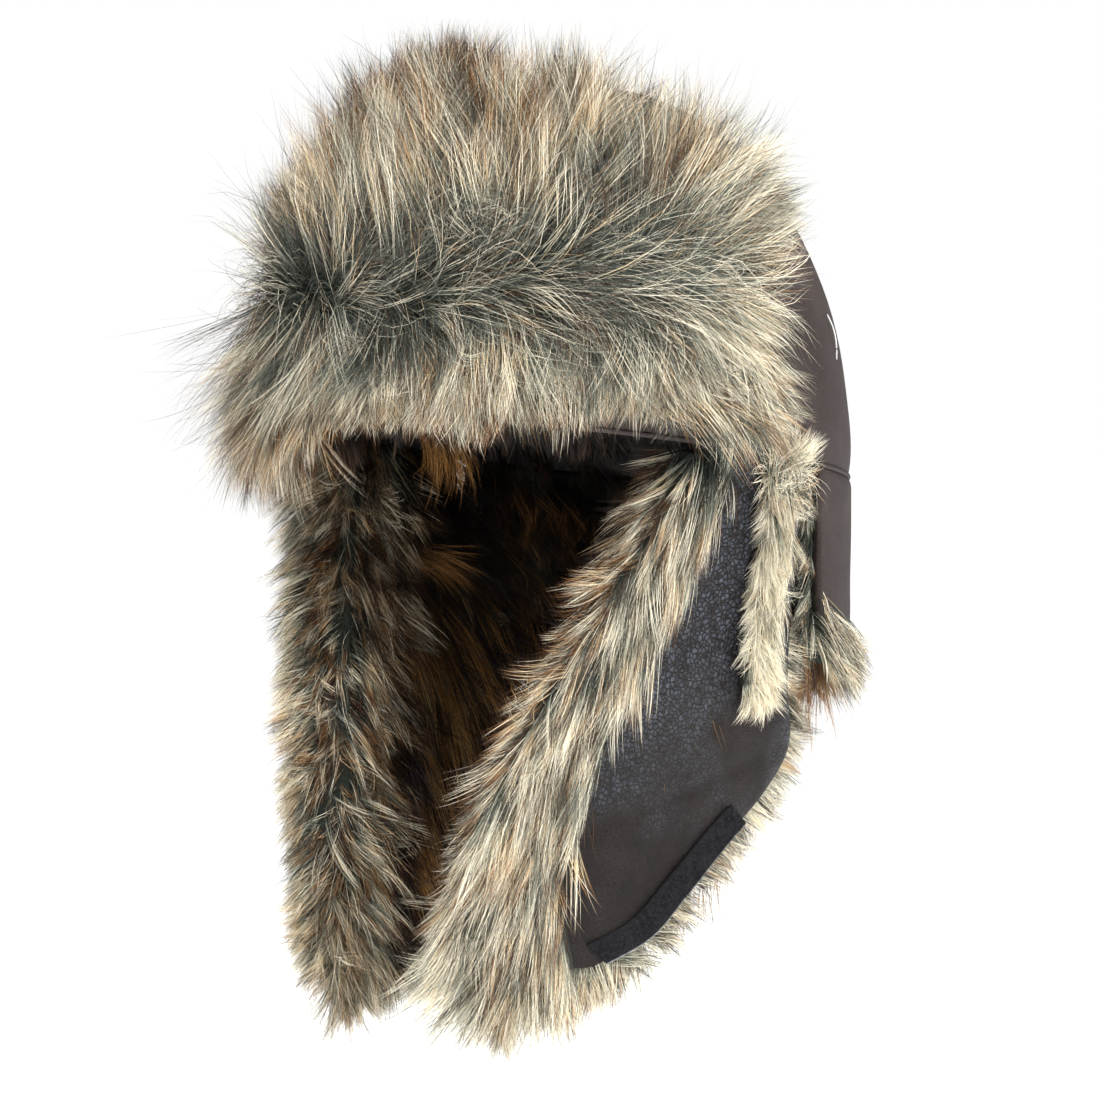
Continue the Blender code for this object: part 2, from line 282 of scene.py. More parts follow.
def neck_place(bottom, dip=0.0):
    """Patch of the neck flap down to a level, with rounded corners. Its middle hangs lower by dip."""

    def place(u, v):
        turn = mix(NECK_SIDE, -math.pi - NECK_SIDE, u)
        arc = np.minimum(u, 1 - u) * 2 * (math.pi / 2 + NECK_SIDE) * HALF_DEPTH
        cut = np.maximum(1 - arc / NECK_CORNER, 0)
        lift = NECK_CORNER * (1 - np.sqrt(1 - cut * cut))
        top = edge_height(-HALF_DEPTH * np.sin(turn)) - FLAP_GAP
        return turn, mix(top, bottom + lift - dip * 2 * np.minimum(u, 1 - u), v)

    return place


def front_place(end, below_top):
    """Patch of the front flap from an end angle in degrees, up to a little below its top edge."""

    def place(u, v):
        turn = mix(math.radians(end), math.pi - math.radians(end), u)
        lower_edge = 0.25 * (1 - np.maximum(np.sin(turn), 0))
        return turn, mix(lower_edge, smooth_table(FRONT_TOP_EDGE, np.degrees(turn)) - below_top, v)

    return place


def part_of(place, left, right, low=0.0, high=1.0):
    """Smaller patch inside another one."""
    return lambda u, v: place(mix(left, right, u), mix(low, high, v))


# ---------------------------------------------------------------- meshes

def new_object(name, mesh, material):
    """Object of a mesh with one material, in the scene."""
    mesh.materials.append(material)
    piece = bpy.data.objects.new(name, mesh)
    bpy.context.scene.collection.objects.link(piece)
    return piece


def mesh_of(name, points, faces):
    """Mesh from an array of points and a list of faces, shaded smooth."""
    mesh = bpy.data.meshes.new(name)
    mesh.from_pydata(points.tolist(), [], faces)
    mesh.shade_smooth()
    return mesh


def grid_faces(columns, rows, start=0):
    """Four-sided faces of a grid of points stored row by row."""
    first = start + np.arange(rows)[:, None] * (columns + 1) + np.arange(columns)[None, :]
    return np.stack((first, first + 1, first + columns + 2, first + columns + 1), -1).reshape(-1, 4)


def clustered(count):
    """Positions from 0 to 1, closer together near both ends."""
    even = np.linspace(0, 1, count + 1)
    return mix(even, 0.5 - 0.5 * np.cos(math.pi * even), 0.7)


def sheet(name, material, surface, place, size, inner, outer, mirror=False):
    """Closed sheet between two offsets of a patch. inner and outer take u, v and the surface points."""
    columns, rows = size
    u, v = np.meshgrid(clustered(columns), clustered(rows))
    base, _, _, normal = frame_on(surface, *place(u, v))
    count = (columns + 1) * (rows + 1)
    low = base + inner(u, v, base)[..., None] * normal
    high = base + outer(u, v, base)[..., None] * normal
    points = np.concatenate((low.reshape(-1, 3), high.reshape(-1, 3)))
    border = np.concatenate((
        np.arange(columns),
        columns + np.arange(rows) * (columns + 1),
        count - 1 - np.arange(columns),
        (rows - np.arange(rows)) * (columns + 1)))
    ahead = np.roll(border, -1)
    rim = np.stack((border, ahead, ahead + count, border + count), -1)
    faces = np.concatenate((grid_faces(columns, rows)[:, ::-1], grid_faces(columns, rows, count), rim))
    if mirror:
        points = points * (-1, 1, 1)
    corner = points[faces]
    volume = np.einsum("ij,ij->i", corner[:, 0], np.cross(corner[:, 1], corner[:, 2])).sum()
    volume += np.einsum("ij,ij->i", corner[:, 0], np.cross(corner[:, 2], corner[:, 3])).sum()
    if volume < 0:
        faces = faces[:, ::-1]
    return new_object(name, mesh_of(name, points, faces.tolist()), material)


def rounded(u, v, edge=0.04):
    """One inside a patch, falling to zero round its border."""
    near = np.minimum(np.minimum(u, 1 - u), np.minimum(v, 1 - v)) / edge
    return np.sqrt(np.clip(1 - (1 - np.clip(near, 0, 1)) ** 2, 0, 1))


def offset(surface, first, second, distance):
    """Points at a distance from a surface."""
    base, _, _, normal = frame_on(surface, first, second)
    return base + np.asarray(distance)[..., None] * normal


def rings(radius, side, lift, sides):
    """Ring of points round the origin for each pair of directions."""
    angle = np.linspace(0, 2 * math.pi, sides, endpoint=False)[:, None]
    return radius * (np.cos(angle) * side[..., None, :] + np.sin(angle) * lift[..., None, :])


def ring_faces(count, sides, closed=False):
    """Four-sided faces between neighbouring rings of points."""
    ring = np.arange(count if closed else count - 1)[:, None]
    near, far = ring * sides, (ring + 1) % count * sides
    around = np.arange(sides)
    after = (around + 1) % sides
    return np.stack((near + around, near + after, far + after, far + around), -1).reshape(-1, 4)


def tube(name, material, path, radius, sides=6, closed=False):
    """Round thread along a path of points, with flat ends unless it closes into a ring."""
    ahead = np.roll(path, -1, 0) - np.roll(path, 1, 0)
    if not closed:
        ahead[0] = path[1] - path[0]
        ahead[-1] = path[-1] - path[-2]
    ahead = unit(ahead)
    helper = np.where(np.abs(ahead[:, 2:3]) > 0.9, np.array(((1.0, 0, 0),)), UP[None])
    side = unit(np.cross(ahead, helper))
    points = (path[:, None] + rings(radius, side, np.cross(ahead, side), sides)).reshape(-1, 3)
    faces = ring_faces(len(path), sides, closed).tolist()
    if not closed:
        faces += [list(range(sides))[::-1], list(range(len(points) - sides, len(points)))]
    return new_object(name, mesh_of(name, points, faces), material)


STITCH_PITCH = 3.2 * MM
STITCH_LENGTH = 0.72 * STITCH_PITCH
STITCH_ARCH = ((0.0, -0.3 * MM), (0.2, 0.15 * MM), (0.5, 0.3 * MM), (0.8, 0.15 * MM), (1.0, -0.3 * MM))
STITCH_RADIUS = 0.22 * MM
STITCH_SIDES = 5


def stitches(name, material, surface, line, distance):
    """Row of sewn stitches along a line of surface coordinates, each a short arched rod."""
    base, _, _, normal = frame_on(surface, *line)
    path = base + distance * normal
    run = np.concatenate(([0.0], np.cumsum(np.linalg.norm(np.diff(path, axis=0), axis=1))))
    starts = np.arange(0.2 * STITCH_PITCH, run[-1] - STITCH_PITCH, STITCH_PITCH)

    def at_run(values, at):
        return np.stack([np.interp(at, run, values[:, k]) for k in range(3)], -1)

    rods = []
    for share, rise in STITCH_ARCH:
        at = starts + share * STITCH_LENGTH
        rods.append(at_run(path, at) + rise * unit(at_run(normal, at)))
    rods = np.stack(rods, 1)
    out = unit(at_run(normal, starts))[:, None]
    side = unit(np.cross(unit(rods[:, -1] - rods[:, 0])[:, None], out))
    points = rods[:, :, None] + rings(STITCH_RADIUS, side, -out, STITCH_SIDES)
    first = np.arange(len(starts))[:, None, None] * len(STITCH_ARCH) * STITCH_SIDES
    faces = (first + ring_faces(len(STITCH_ARCH), STITCH_SIDES)).reshape(-1, 4)
    return new_object(name, mesh_of(name, points.reshape(-1, 3), faces.tolist()), material)


# ---------------------------------------------------------------- hair

def hair_paths(surface, place, u, v, distance, length, lift, flow, wander, droop, ruffle):
    """Paths of hairs rooted at u, v as an array of (hair, step, xyz), and the normals at their roots."""
    base, across, along, normal = frame_on(surface, *place(u, v))
    root = base + distance[:, None] * normal
    sideways, onwards = flow(u, v, base)
    lay = unit(sideways[:, None] * across + onwards[:, None] * along)
    step = (length / (HAIR_STEPS - 1))[:, None]
    path = [root]
    for k in range(HAIR_STEPS - 1):
        share = (k + 0.5) / (HAIR_STEPS - 1)
        angle = mix(lift[0], lift[1], share) + (1 - 0.5 * share) * ruffle
        stand = np.sin(angle)[:, None] * normal
        heading = np.cos(angle)[:, None] * lay + stand + share * wander - droop * share * UP
        path.append(path[-1] + step * unit(heading))
    return np.stack(path, 1), normal


def scatter(rng, u, v, which, spread_u, spread_v):
    """Places scattered round their parents, kept on the patch."""
    new_u = u[which] + rng.normal(0, spread_u, len(which))
    new_v = v[which] + rng.normal(0, spread_v, len(which))
    new_u = np.where(np.abs(new_u - 0.5) > 0.5, u[which], new_u)
    return new_u, np.where(np.abs(new_v - 0.5) > 0.5, v[which], new_v)


def grow(surface, place, count, length, lift, flow, tone, seed, distance=0.0, depth=0.0, per_tuft=16,
         tuft=2.6 * MM, clump=9 * MM, gather=0.68, wander=0.26, stray=0.13, droop=0.10,
         width=0.24 * MM, white=0.86, plain=False, mirror=False):
    """Hair on a patch in three levels: clumps of tufts of hairs, each drawn together towards the tip.

    length and tone take u, v and the base points, and flow gives the lie of the hair as its parts along the
    patch's two directions. Roots lie at a distance from the surface, spread over a depth. Hairs differ in
    tone from clump to clump and tuft to tuft, less so where they are white, unless the patch is plain.
    Returns paths, facing directions, widths and tones.
    """
    rng = np.random.default_rng(seed)
    tufts = max(int(count * FUR_SHARE) // per_tuft, 6)
    clumps = max(tufts // TUFTS_IN_CLUMP, 1)
    sample = np.linspace(0, 1, 9)
    row = surface(*place(sample, 0 * sample + 0.5))
    column = surface(*place(0 * sample + 0.5, sample))
    patch_width = np.linalg.norm(np.diff(row, axis=0), axis=1).sum()
    patch_height = np.linalg.norm(np.diff(column, axis=0), axis=1).sum()

    def paths_at(u, v, lengths, wanders, roots, ruffles):
        return hair_paths(surface, place, u, v, roots, lengths, lift, flow, wanders, droop, ruffles)

    clump_u, clump_v = rng.random(clumps), rng.random(clumps)
    of_clump = np.repeat(np.arange(clumps), math.ceil(tufts / clumps))[:tufts]
    tuft_u, tuft_v = scatter(rng, clump_u, clump_v, of_clump, clump / patch_width, clump / patch_height)
    alone = rng.random(tufts) < TUFTS_ALONE
    tuft_u = np.where(alone, rng.random(tufts), tuft_u)
    tuft_v = np.where(alone, rng.random(tufts), tuft_v)
    which = np.repeat(np.arange(tufts), per_tuft)
    u, v = scatter(rng, tuft_u, tuft_v, which, tuft / patch_width, tuft / patch_height)

    base = surface(*place(clump_u, clump_v))
    clump_length = length(clump_u, clump_v, base) * rng.uniform(0.78, 1.18, clumps)
    clump_wander = rng.normal(0, wander, (clumps, 3))
    clump_root = np.full(clumps, float(distance))
    clump_ruffle = rng.normal(0, RUFFLE, clumps)
    clump_path, _ = paths_at(clump_u, clump_v, clump_length, clump_wander, clump_root, clump_ruffle)
    base = surface(*place(tuft_u, tuft_v))
    tuft_length = length(tuft_u, tuft_v, base) * rng.uniform(0.62, 1.14, tufts)
    tuft_wander = rng.normal(0, 0.8 * wander, (tufts, 3)) + clump_wander[of_clump]
    tuft_root = distance + depth * rng.random(tufts)
    tuft_ruffle = clump_ruffle[of_clump] + rng.normal(0, 0.6 * RUFFLE, tufts)
    tuft_path, _ = paths_at(tuft_u, tuft_v, tuft_length, tuft_wander, tuft_root, tuft_ruffle)
    share = np.linspace(0, 1, HAIR_STEPS)[None, :, None]
    near = np.linalg.norm(clump_path[of_clump, 0] - tuft_path[:, 0], axis=1) < 3 * clump
    pull = np.where(alone | ~near, 0.0, CLUMP_PULL)[:, None, None]
    tuft_path = tuft_path + pull * share ** 1.5 * (clump_path[of_clump] - tuft_path)

    own_wander = rng.normal(0, stray, (len(which), 3)) + tuft_wander[which]
    own_length = tuft_length[which] * rng.uniform(0.6, 1.08, len(which))
    own_root = tuft_root[which] + 0.3 * depth * rng.random(len(which))
    paths, normal = paths_at(u, v, own_length, own_wander, own_root, tuft_ruffle[which])
    pull = (gather * rng.uniform(0.5, 1.0, len(which)))[:, None, None]
    paths = paths + pull * share ** 1.2 * (tuft_path[which] - paths)
    facing = unit(normal + rng.normal(0, 0.5, normal.shape))

    tones = tone(u, v, surface(*place(u, v)))
    if not plain:
        pale = np.exp(-(((tones - TONE_WHITE) / 0.03) ** 2))
        change = rng.normal(0, 1.9 * VARIETY, clumps)[of_clump][which]
        change = change + rng.normal(0, 1.5 * VARIETY, tufts)[which]
        change = change + rng.normal(0, 0.4 * VARIETY, len(which))
        tones = tones + (1 - 0.75 * pale) * change
        chance = 0.7 * rng.random(tufts)[which] + 0.3 * rng.random(len(which))
        tones = np.where(chance < GUARD_SHARE - 0.15 * pale, TONE_GUARD, tones)
        tones = np.where(chance > white, TONE_WHITE, tones)
    widths = width * rng.uniform(0.6, 1.3, len(which))
    paths = paths * ((-1, 1, 1) if mirror else (1, 1, 1))
    facing = facing * ((-1, 1, 1) if mirror else (1, 1, 1))
    keep = ((paths > LOWEST) & (paths < HIGHEST)).all((1, 2))
    return paths[keep], facing[keep], widths[keep], np.clip(tones, 0.01, 0.99)[keep]


def fur_piece(name, material, groups):
    """One mesh of ribbon hairs from several grown groups, with a colour map across and along the hairs."""
    paths, facing, widths, tones = (np.concatenate(part) for part in zip(*groups))
    count, steps, _ = paths.shape
    heading = np.gradient(paths, axis=1)
    side = unit(np.cross(unit(heading), facing[:, None]))
    share = np.linspace(0, 1, steps)
    half = 0.5 * widths[:, None] * (1 - 0.75 * share ** 2)[None]
    left = paths - half[..., None] * side
    right = paths + half[..., None] * side
    body = np.stack((left, right), 2)[:, :-1].reshape(count, 2 * (steps - 1), 3)
    points = np.concatenate((body, paths[:, -1:]), 1)
    pattern = []
    for k in range(steps - 2):
        pattern += [2 * k, 2 * k + 1, 2 * k + 3, 2 * k + 2]
    pattern = np.array(pattern + [2 * steps - 4, 2 * steps - 3, 2 * steps - 2])
    per_hair = 2 * (steps - 1) + 1
    index = np.arange(count)[:, None] * per_hair + pattern[None]
    loop_start = np.arange(count)[:, None] * len(pattern) + 4 * np.arange(steps - 1)[None]
    mesh = bpy.data.meshes.new(name)
    mesh.vertices.add(count * per_hair)
    mesh.vertices.foreach_set("co", points.astype(np.float32).ravel())
    mesh.loops.add(index.size)
    mesh.loops.foreach_set("vertex_index", index.astype(np.int32).ravel())
    mesh.polygons.add(loop_start.size)
    mesh.polygons.foreach_set("loop_start", loop_start.astype(np.int32).ravel())
    mesh.polygons.foreach_set("use_smooth", np.ones(loop_start.size, bool))
    along = np.concatenate((np.repeat(share[:-1], 2), share[-1:]))
    width_step = 0.004 * np.concatenate((np.tile((-1.0, 1.0), steps - 1), (0.0,)))
    map_u = tones[:, None] + width_step[None]
    map_v = np.broadcast_to(mix(0.01, 0.99, along)[None], map_u.shape)
    layer = mesh.uv_layers.new(name="OFBake")
    layer.data.foreach_set("uv", np.stack((map_u, map_v), -1)[:, pattern].astype(np.float32).ravel())
    mesh.update(calc_edges=True)
    return new_object(name, mesh, material)


# ---------------------------------------------------------------- materials

class Nodes:
    """Short way of wiring a Principled material."""

    def __init__(self, name, roughness, specular=0.5):
        self.material = bpy.data.materials.new(name)
        self.material.use_nodes = True
        self.tree = self.material.node_tree
        self.shader = self.tree.nodes["Principled BSDF"]
        self.shader.inputs["Roughness"].default_value = roughness
        self.shader.inputs["Specular IOR Level"].default_value = specular

    def add(self, kind, **values):
        """New node with its inputs or settings set by name."""
        node = self.tree.nodes.new(kind)
        for key, value in values.items():
            if key in node.inputs:
                node.inputs[key].default_value = value
            else:
                setattr(node, key, value)
        return node

    def link(self, source, target):
        """Join an output to an input."""
        self.tree.links.new(source, target)

    def colour(self, source):
        """Join an output to the shader's colour."""
        self.link(source, self.shader.inputs["Base Color"])

    def coordinates(self):
        """Object coordinates."""
        return self.add("ShaderNodeTexCoord").outputs["Object"]

    def noise(self, scale, detail=4.0):
        """Noise value over the object."""
        node = self.add("ShaderNodeTexNoise", Scale=scale, Detail=detail, Roughness=0.55)
        self.link(self.coordinates(), node.inputs["Vector"])
        return node.outputs["Fac"]

    def ramp(self, value, stops):
        """Colours over a value."""
        node = self.add("ShaderNodeValToRGB")
        band = node.color_ramp
        while len(band.elements) < len(stops):
            band.elements.new(0.5)
        for element, (position, colour) in zip(band.elements, stops):
            element.position = position
            element.color = (*colour, 1.0)
        self.link(value, node.inputs["Fac"])
        return node.outputs["Color"]

    def blend(self, share, first, second):
        """Mix of two colours."""
        node = self.add("ShaderNodeMix", data_type="RGBA")
        if isinstance(share, float):
            node.inputs[0].default_value = share
        else:
            self.link(share, node.inputs[0])
        self.link(first, node.inputs[6])
        self.link(second, node.inputs[7])
        return node.outputs[2]

    def limits(self, value, low, high, to_low=0.0, to_high=1.0):
        """Value stretched from one range to another."""
        node = self.add("ShaderNodeMapRange")
        self.link(value, node.inputs["Value"])
        for key, number in (("From Min", low), ("From Max", high), ("To Min", to_low), ("To Max", to_high)):
            node.inputs[key].default_value = number
        return node.outputs["Result"]

    def bump(self, height, strength, distance):
        """Bump into the shader's normal."""
        node = self.add("ShaderNodeBump", Strength=strength, Distance=distance)
        self.link(height, node.inputs["Height"])
        self.link(node.outputs["Normal"], self.shader.inputs["Normal"])


def fur_material(name, rows):
    """Hair colours: across the map the tone of the hair, along it from root to tip.

    rows holds the tones in order, each as (tone, colour stops along the hair).
    """
    made = Nodes(name, 0.5, specular=0.3)
    layout = made.add("ShaderNodeUVMap", uv_map="OFBake")
    split = made.add("ShaderNodeSeparateXYZ")
    made.link(layout.outputs["UV"], split.inputs["Vector"])
    before, stops = rows[0]
    colour = made.ramp(split.outputs["Y"], stops)
    for tone, stops in rows[1:]:
        share = made.limits(split.outputs["X"], mix(before, tone, 0.25), mix(before, tone, 0.75))
        colour = made.blend(share, colour, made.ramp(split.outputs["Y"], stops))
        before = tone
    made.colour(colour)
    return made.material


SHADE = (0.012, 0.014, 0.011)
SAGE_DARK = (0.040, 0.049, 0.040)
SAGE = (0.125, 0.142, 0.112)
SAGE_LIGHT = (0.42, 0.43, 0.34)
CREAM = (0.88, 0.66, 0.38)
IVORY = (0.98, 0.91, 0.72)
WARM = (0.34, 0.165, 0.062)
BROWN = (0.085, 0.038, 0.015)
BLACK_BROWN = (0.009, 0.005, 0.0035)
GOLD = (0.36, 0.18, 0.050)


def pale_fur():
    """Long outer fur: sage roots, cream middles, brown tips."""
    return fur_material("faux_fur_pile", (
        (TONE_GUARD, ((0.0, SHADE), (0.3, SAGE_DARK), (0.6, BROWN), (0.8, BLACK_BROWN), (1.0, BLACK_BROWN))),
        (TONE_BROWN, ((0.0, SHADE), (0.2, SAGE_DARK), (0.5, WARM), (0.7, WARM), (0.85, BROWN),
                      (1.0, BLACK_BROWN))),
        (TONE_WARM, ((0.0, SHADE), (0.2, SAGE_DARK), (0.45, SAGE_LIGHT), (0.62, CREAM), (0.82, WARM),
                     (1.0, BROWN))),
        (TONE_CREAM, ((0.0, SHADE), (0.2, SAGE), (0.4, SAGE_LIGHT), (0.6, CREAM), (0.78, IVORY),
                      (1.0, WARM))),
        (TONE_WHITE, ((0.0, SAGE_DARK), (0.25, SAGE_LIGHT), (0.5, IVORY), (1.0, IVORY))),
        (TONE_SAGE, ((0.0, SHADE), (0.3, SAGE_DARK), (0.6, SAGE), (0.85, SAGE_LIGHT), (1.0, CREAM))),
        (TONE_MOSS, ((0.0, SHADE), (0.5, SAGE_DARK), (1.0, SAGE)))))


def lining_fur_in_painted_shade():
    """Fur seen deep inside: dark brown painted nearly black as painted shade, with golden and brown lighter
    strands.
    """
    return fur_material("faux_fur_lining_painted_shade", (
        (TONE_GUARD, ((0.0, BLACK_BROWN), (1.0, BLACK_BROWN))),
        (TONE_BROWN, ((0.0, BLACK_BROWN), (0.8, BLACK_BROWN), (1.0, BROWN))),
        (TONE_WARM, ((0.0, BLACK_BROWN), (0.5, BLACK_BROWN), (0.85, BROWN), (1.0, WARM))),
        (TONE_CREAM, ((0.0, BLACK_BROWN), (0.4, BROWN), (0.75, GOLD), (1.0, WARM))),
        (TONE_WHITE, ((0.0, BROWN), (0.5, GOLD), (1.0, CREAM))),
        (TONE_SAGE, ((0.0, SHADE), (0.5, SAGE_DARK), (1.0, SAGE)))))


def undercoat_material(name, dark, light):
    """Dense short underfur of a pile's backing."""
    made = Nodes(name, 0.9, specular=0.1)
    fine = made.noise(900.0, detail=3.0)
    patches = made.noise(60.0)
    wide = made.ramp(patches, ((0.3, dark), (0.7, light)))
    close = made.ramp(fine, ((0.3, dark), (0.8, light)))
    made.colour(made.blend(made.limits(fine, 0.35, 0.65), wide, close))
    made.bump(fine, 0.8, 0.001)
    return made.material


def suede_material():
    """Brown suede-like leather of the crown and neck flap: fine nap and cloudy patches."""
    made = Nodes("brown_suede", 0.7, specular=0.3)
    clouds = made.noise(45.0, detail=5.0)
    nap = made.noise(1400.0, detail=2.0)
    colour = made.ramp(clouds, ((0.25, (0.026, 0.018, 0.016)), (0.55, (0.044, 0.032, 0.030)),
                                (0.8, (0.070, 0.053, 0.049))))
    speckle = made.ramp(nap, ((0.35, (0.016, 0.012, 0.010)), (0.7, (0.088, 0.068, 0.061))))
    made.colour(made.blend(0.35, colour, speckle))
    made.bump(nap, 0.35, 0.0004)
    return made.material


def crackle_material():
    """Charcoal leather with a fine raised crackle, its raised cells lightened bluish grey as a painted
    highlight, that fades into smoother worn parts.
    """
    made = Nodes("crackle_leather_painted_highlight", 0.5, specular=0.2)
    where = made.coordinates()
    warp = made.add("ShaderNodeTexNoise", Scale=350.0, Detail=3.0)
    made.link(where, warp.inputs["Vector"])
    bent = made.add("ShaderNodeMix", data_type="VECTOR")
    bent.inputs[0].default_value = 0.0016
    made.link(where, bent.inputs[4])
    made.link(warp.outputs["Color"], bent.inputs[5])

    def plateaus(scale):
        cells = made.add("ShaderNodeTexVoronoi", Scale=scale, feature="DISTANCE_TO_EDGE")
        made.link(bent.outputs[1], cells.inputs["Vector"])
        return made.limits(cells.outputs["Distance"], 0.03, 0.20)

    coarse = plateaus(520.0)
    fine = plateaus(1000.0)
    split = made.add("ShaderNodeSeparateXYZ")
    made.link(where, split.inputs["Vector"])
    upper = made.limits(split.outputs["Z"], -0.16, -0.03, -0.16, 0.16)
    patchy = made.add("ShaderNodeMath", operation="ADD")
    made.link(made.noise(14.0, detail=4.0), patchy.inputs[0])
    made.link(upper, patchy.inputs[1])
    zone = made.limits(patchy.outputs["Value"], 0.42, 0.60)
    nap = made.noise(1300.0, detail=2.0)
    ground = made.ramp(nap, ((0.3, (0.006, 0.004, 0.004)), (0.7, (0.018, 0.014, 0.013))))
    # Raised cells painted light bluish grey: a painted highlight over the dark ground.
    raised = made.ramp(made.noise(300.0), ((0.35, (0.022, 0.023, 0.027)), (0.7, (0.085, 0.095, 0.120))))
    worn = made.ramp(made.noise(60.0), ((0.35, (0.013, 0.010, 0.009)), (0.7, (0.032, 0.025, 0.023))))
    cracked = made.blend(coarse, ground, raised)
    grained = made.blend(fine, ground, worn)
    made.colour(made.blend(zone, grained, cracked))
    height = made.add("ShaderNodeMix", data_type="FLOAT")
    made.link(zone, height.inputs[0])
    made.link(made.limits(fine, 0.0, 1.0, 0.0, 0.35), height.inputs[2])
    made.link(coarse, height.inputs[3])
    made.link(made.limits(zone, 0.0, 1.0, 0.66, 0.42), made.shader.inputs["Roughness"])
    made.bump(height.outputs[0], 0.8, 0.0005)
    return made.material


def cloth_material(name, dark, light, pitch):
    """Plain woven tape or felt."""
    made = Nodes(name, 0.85, specular=0.2)
    waves = made.add("ShaderNodeTexWave", Scale=1.0 / pitch, Distortion=1.5, bands_direction="DIAGONAL")
    made.link(made.coordinates(), waves.inputs["Vector"])
    fibres = made.ramp(made.noise(800.0), ((0.3, (0, 0, 0)), (0.7, (1, 1, 1))))
    grey = made.add("ShaderNodeRGBToBW")
    made.link(made.blend(0.5, waves.outputs["Color"], fibres), grey.inputs["Color"])
    made.colour(made.ramp(grey.outputs["Val"], ((0.2, dark), (0.8, light))))
    made.bump(grey.outputs["Val"], 0.5, 0.0004)
    return made.material


def thread_material(name, dark, light):
    """Twisted sewing thread."""
    made = Nodes(name, 0.6, specular=0.3)
    twist = made.noise(2500.0, detail=2.0)
    made.colour(made.ramp(twist, ((0.3, dark), (0.7, light))))
    made.bump(twist, 0.4, 0.0001)
    return made.material


TAPE_BLACK = (0.005, 0.005, 0.006)
TAPE_GREY = (0.020, 0.020, 0.023)
FUR = pale_fur()
# Lining fur: dark brown with golden strands, painted nearly black as the shade inside the hat.
SHADED_LINING_FUR = lining_fur_in_painted_shade()
UNDERCOAT = undercoat_material("undercoat_sage", SHADE, SAGE_DARK)
# Crown lining backing painted nearly black: painted shade inside the crown.
SHADED_UNDERCOAT = undercoat_material("undercoat_painted_shade", BLACK_BROWN, (0.020, 0.012, 0.007))
SUEDE = suede_material()
CRACKLE = crackle_material()
WADDING = cloth_material("white_wadding", (0.62, 0.62, 0.60), (0.85, 0.85, 0.83), 0.004)
STIFFENER = cloth_material("pale_interfacing", (0.55, 0.55, 0.53), (0.74, 0.74, 0.72), 0.0015)
TAPE = cloth_material("black_tape_weave", TAPE_BLACK, TAPE_GREY, 0.0012)
BAND = cloth_material("sweatband_weave", (0.012, 0.012, 0.012), (0.045, 0.044, 0.042), 0.0012)
THREAD = thread_material("brown_thread", (0.020, 0.015, 0.013), (0.060, 0.046, 0.041))
WHITE_THREAD = thread_material("white_thread", (0.62, 0.62, 0.60), (0.85, 0.85, 0.83))
GREY_THREAD = thread_material("grey_edge_thread", (0.16, 0.16, 0.16), (0.34, 0.34, 0.34))
BLACK_FUZZ = fur_material("black_tape_fuzz", (
    (TONE_GUARD, ((0.0, TAPE_BLACK), (1.0, TAPE_BLACK))),
    (TONE_WHITE, ((0.0, TAPE_BLACK), (1.0, TAPE_GREY)))))


# ---------------------------------------------------------------- pieces

def even(value):
    """The same value everywhere."""
    return lambda u, v, base: value + 0 * u


def soft(distance, amount, scale, seed):
    """Offset with slow ripples, flattening at the border."""
    return lambda u, v, base: distance + amount * ripple(base, scale, seed) * rounded(u, v, 0.1)


def tone_of(tone, amount=0.0, scale=0.03, seed=1):
    """The same tone everywhere, or with patches."""
    return lambda u, v, base: tone + amount * ripple(base, scale, seed) if amount else tone + 0 * u


def lie(sideways, onwards, sway=0.0, scale=1.0, seed=0):
    """Lie of hair along a patch's two directions, swaying from side to side over the patch."""
    return lambda u, v, base: (sideways + sway * ripple(base, scale, seed) + 0 * u, onwards + 0 * u)


def fit_out(piece, body, node=None, bend=None):
    """Replaced CAD node and body of a piece.

    A piece with a bend is fixed in place where it stands and is not put on its body.
    """
    if node:
        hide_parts(node)
    if bend:
        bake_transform(piece)
    else:
        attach(piece, body)


def put_fur(name, body, groups, bend=None, material=FUR):
    """One piece of fur from several grown groups of hair."""
    fit_out(fur_piece(name, material, groups), body, bend=bend)


def turned_edge(u, v, base):
    """Inside of an outer leather: folded in over the padding's rim."""
    return mix(LINING_OUT + 0.2 * MM, LEATHER_IN, rounded(u, v, 0.015))


def padding(name, body, node, surface, place, size, seed, bend=None, mirror=False):
    """Wadding inside a panel, a little smaller than its leather."""
    pad = sheet(name, WADDING, surface, part_of(place, 0.03, 0.97, 0.03, 0.97), size,
                soft(WADDING_IN, 0.15 * MM, 0.02, seed), soft(WADDING_OUT, 0.15 * MM, 0.02, seed + 1),
                mirror=mirror)
    fit_out(pad, body, node, bend)


QUARTERS = ("front_left", "front_right", "rear_right", "rear_left")
SEAM_STITCH_OUT = 3.0 * MM


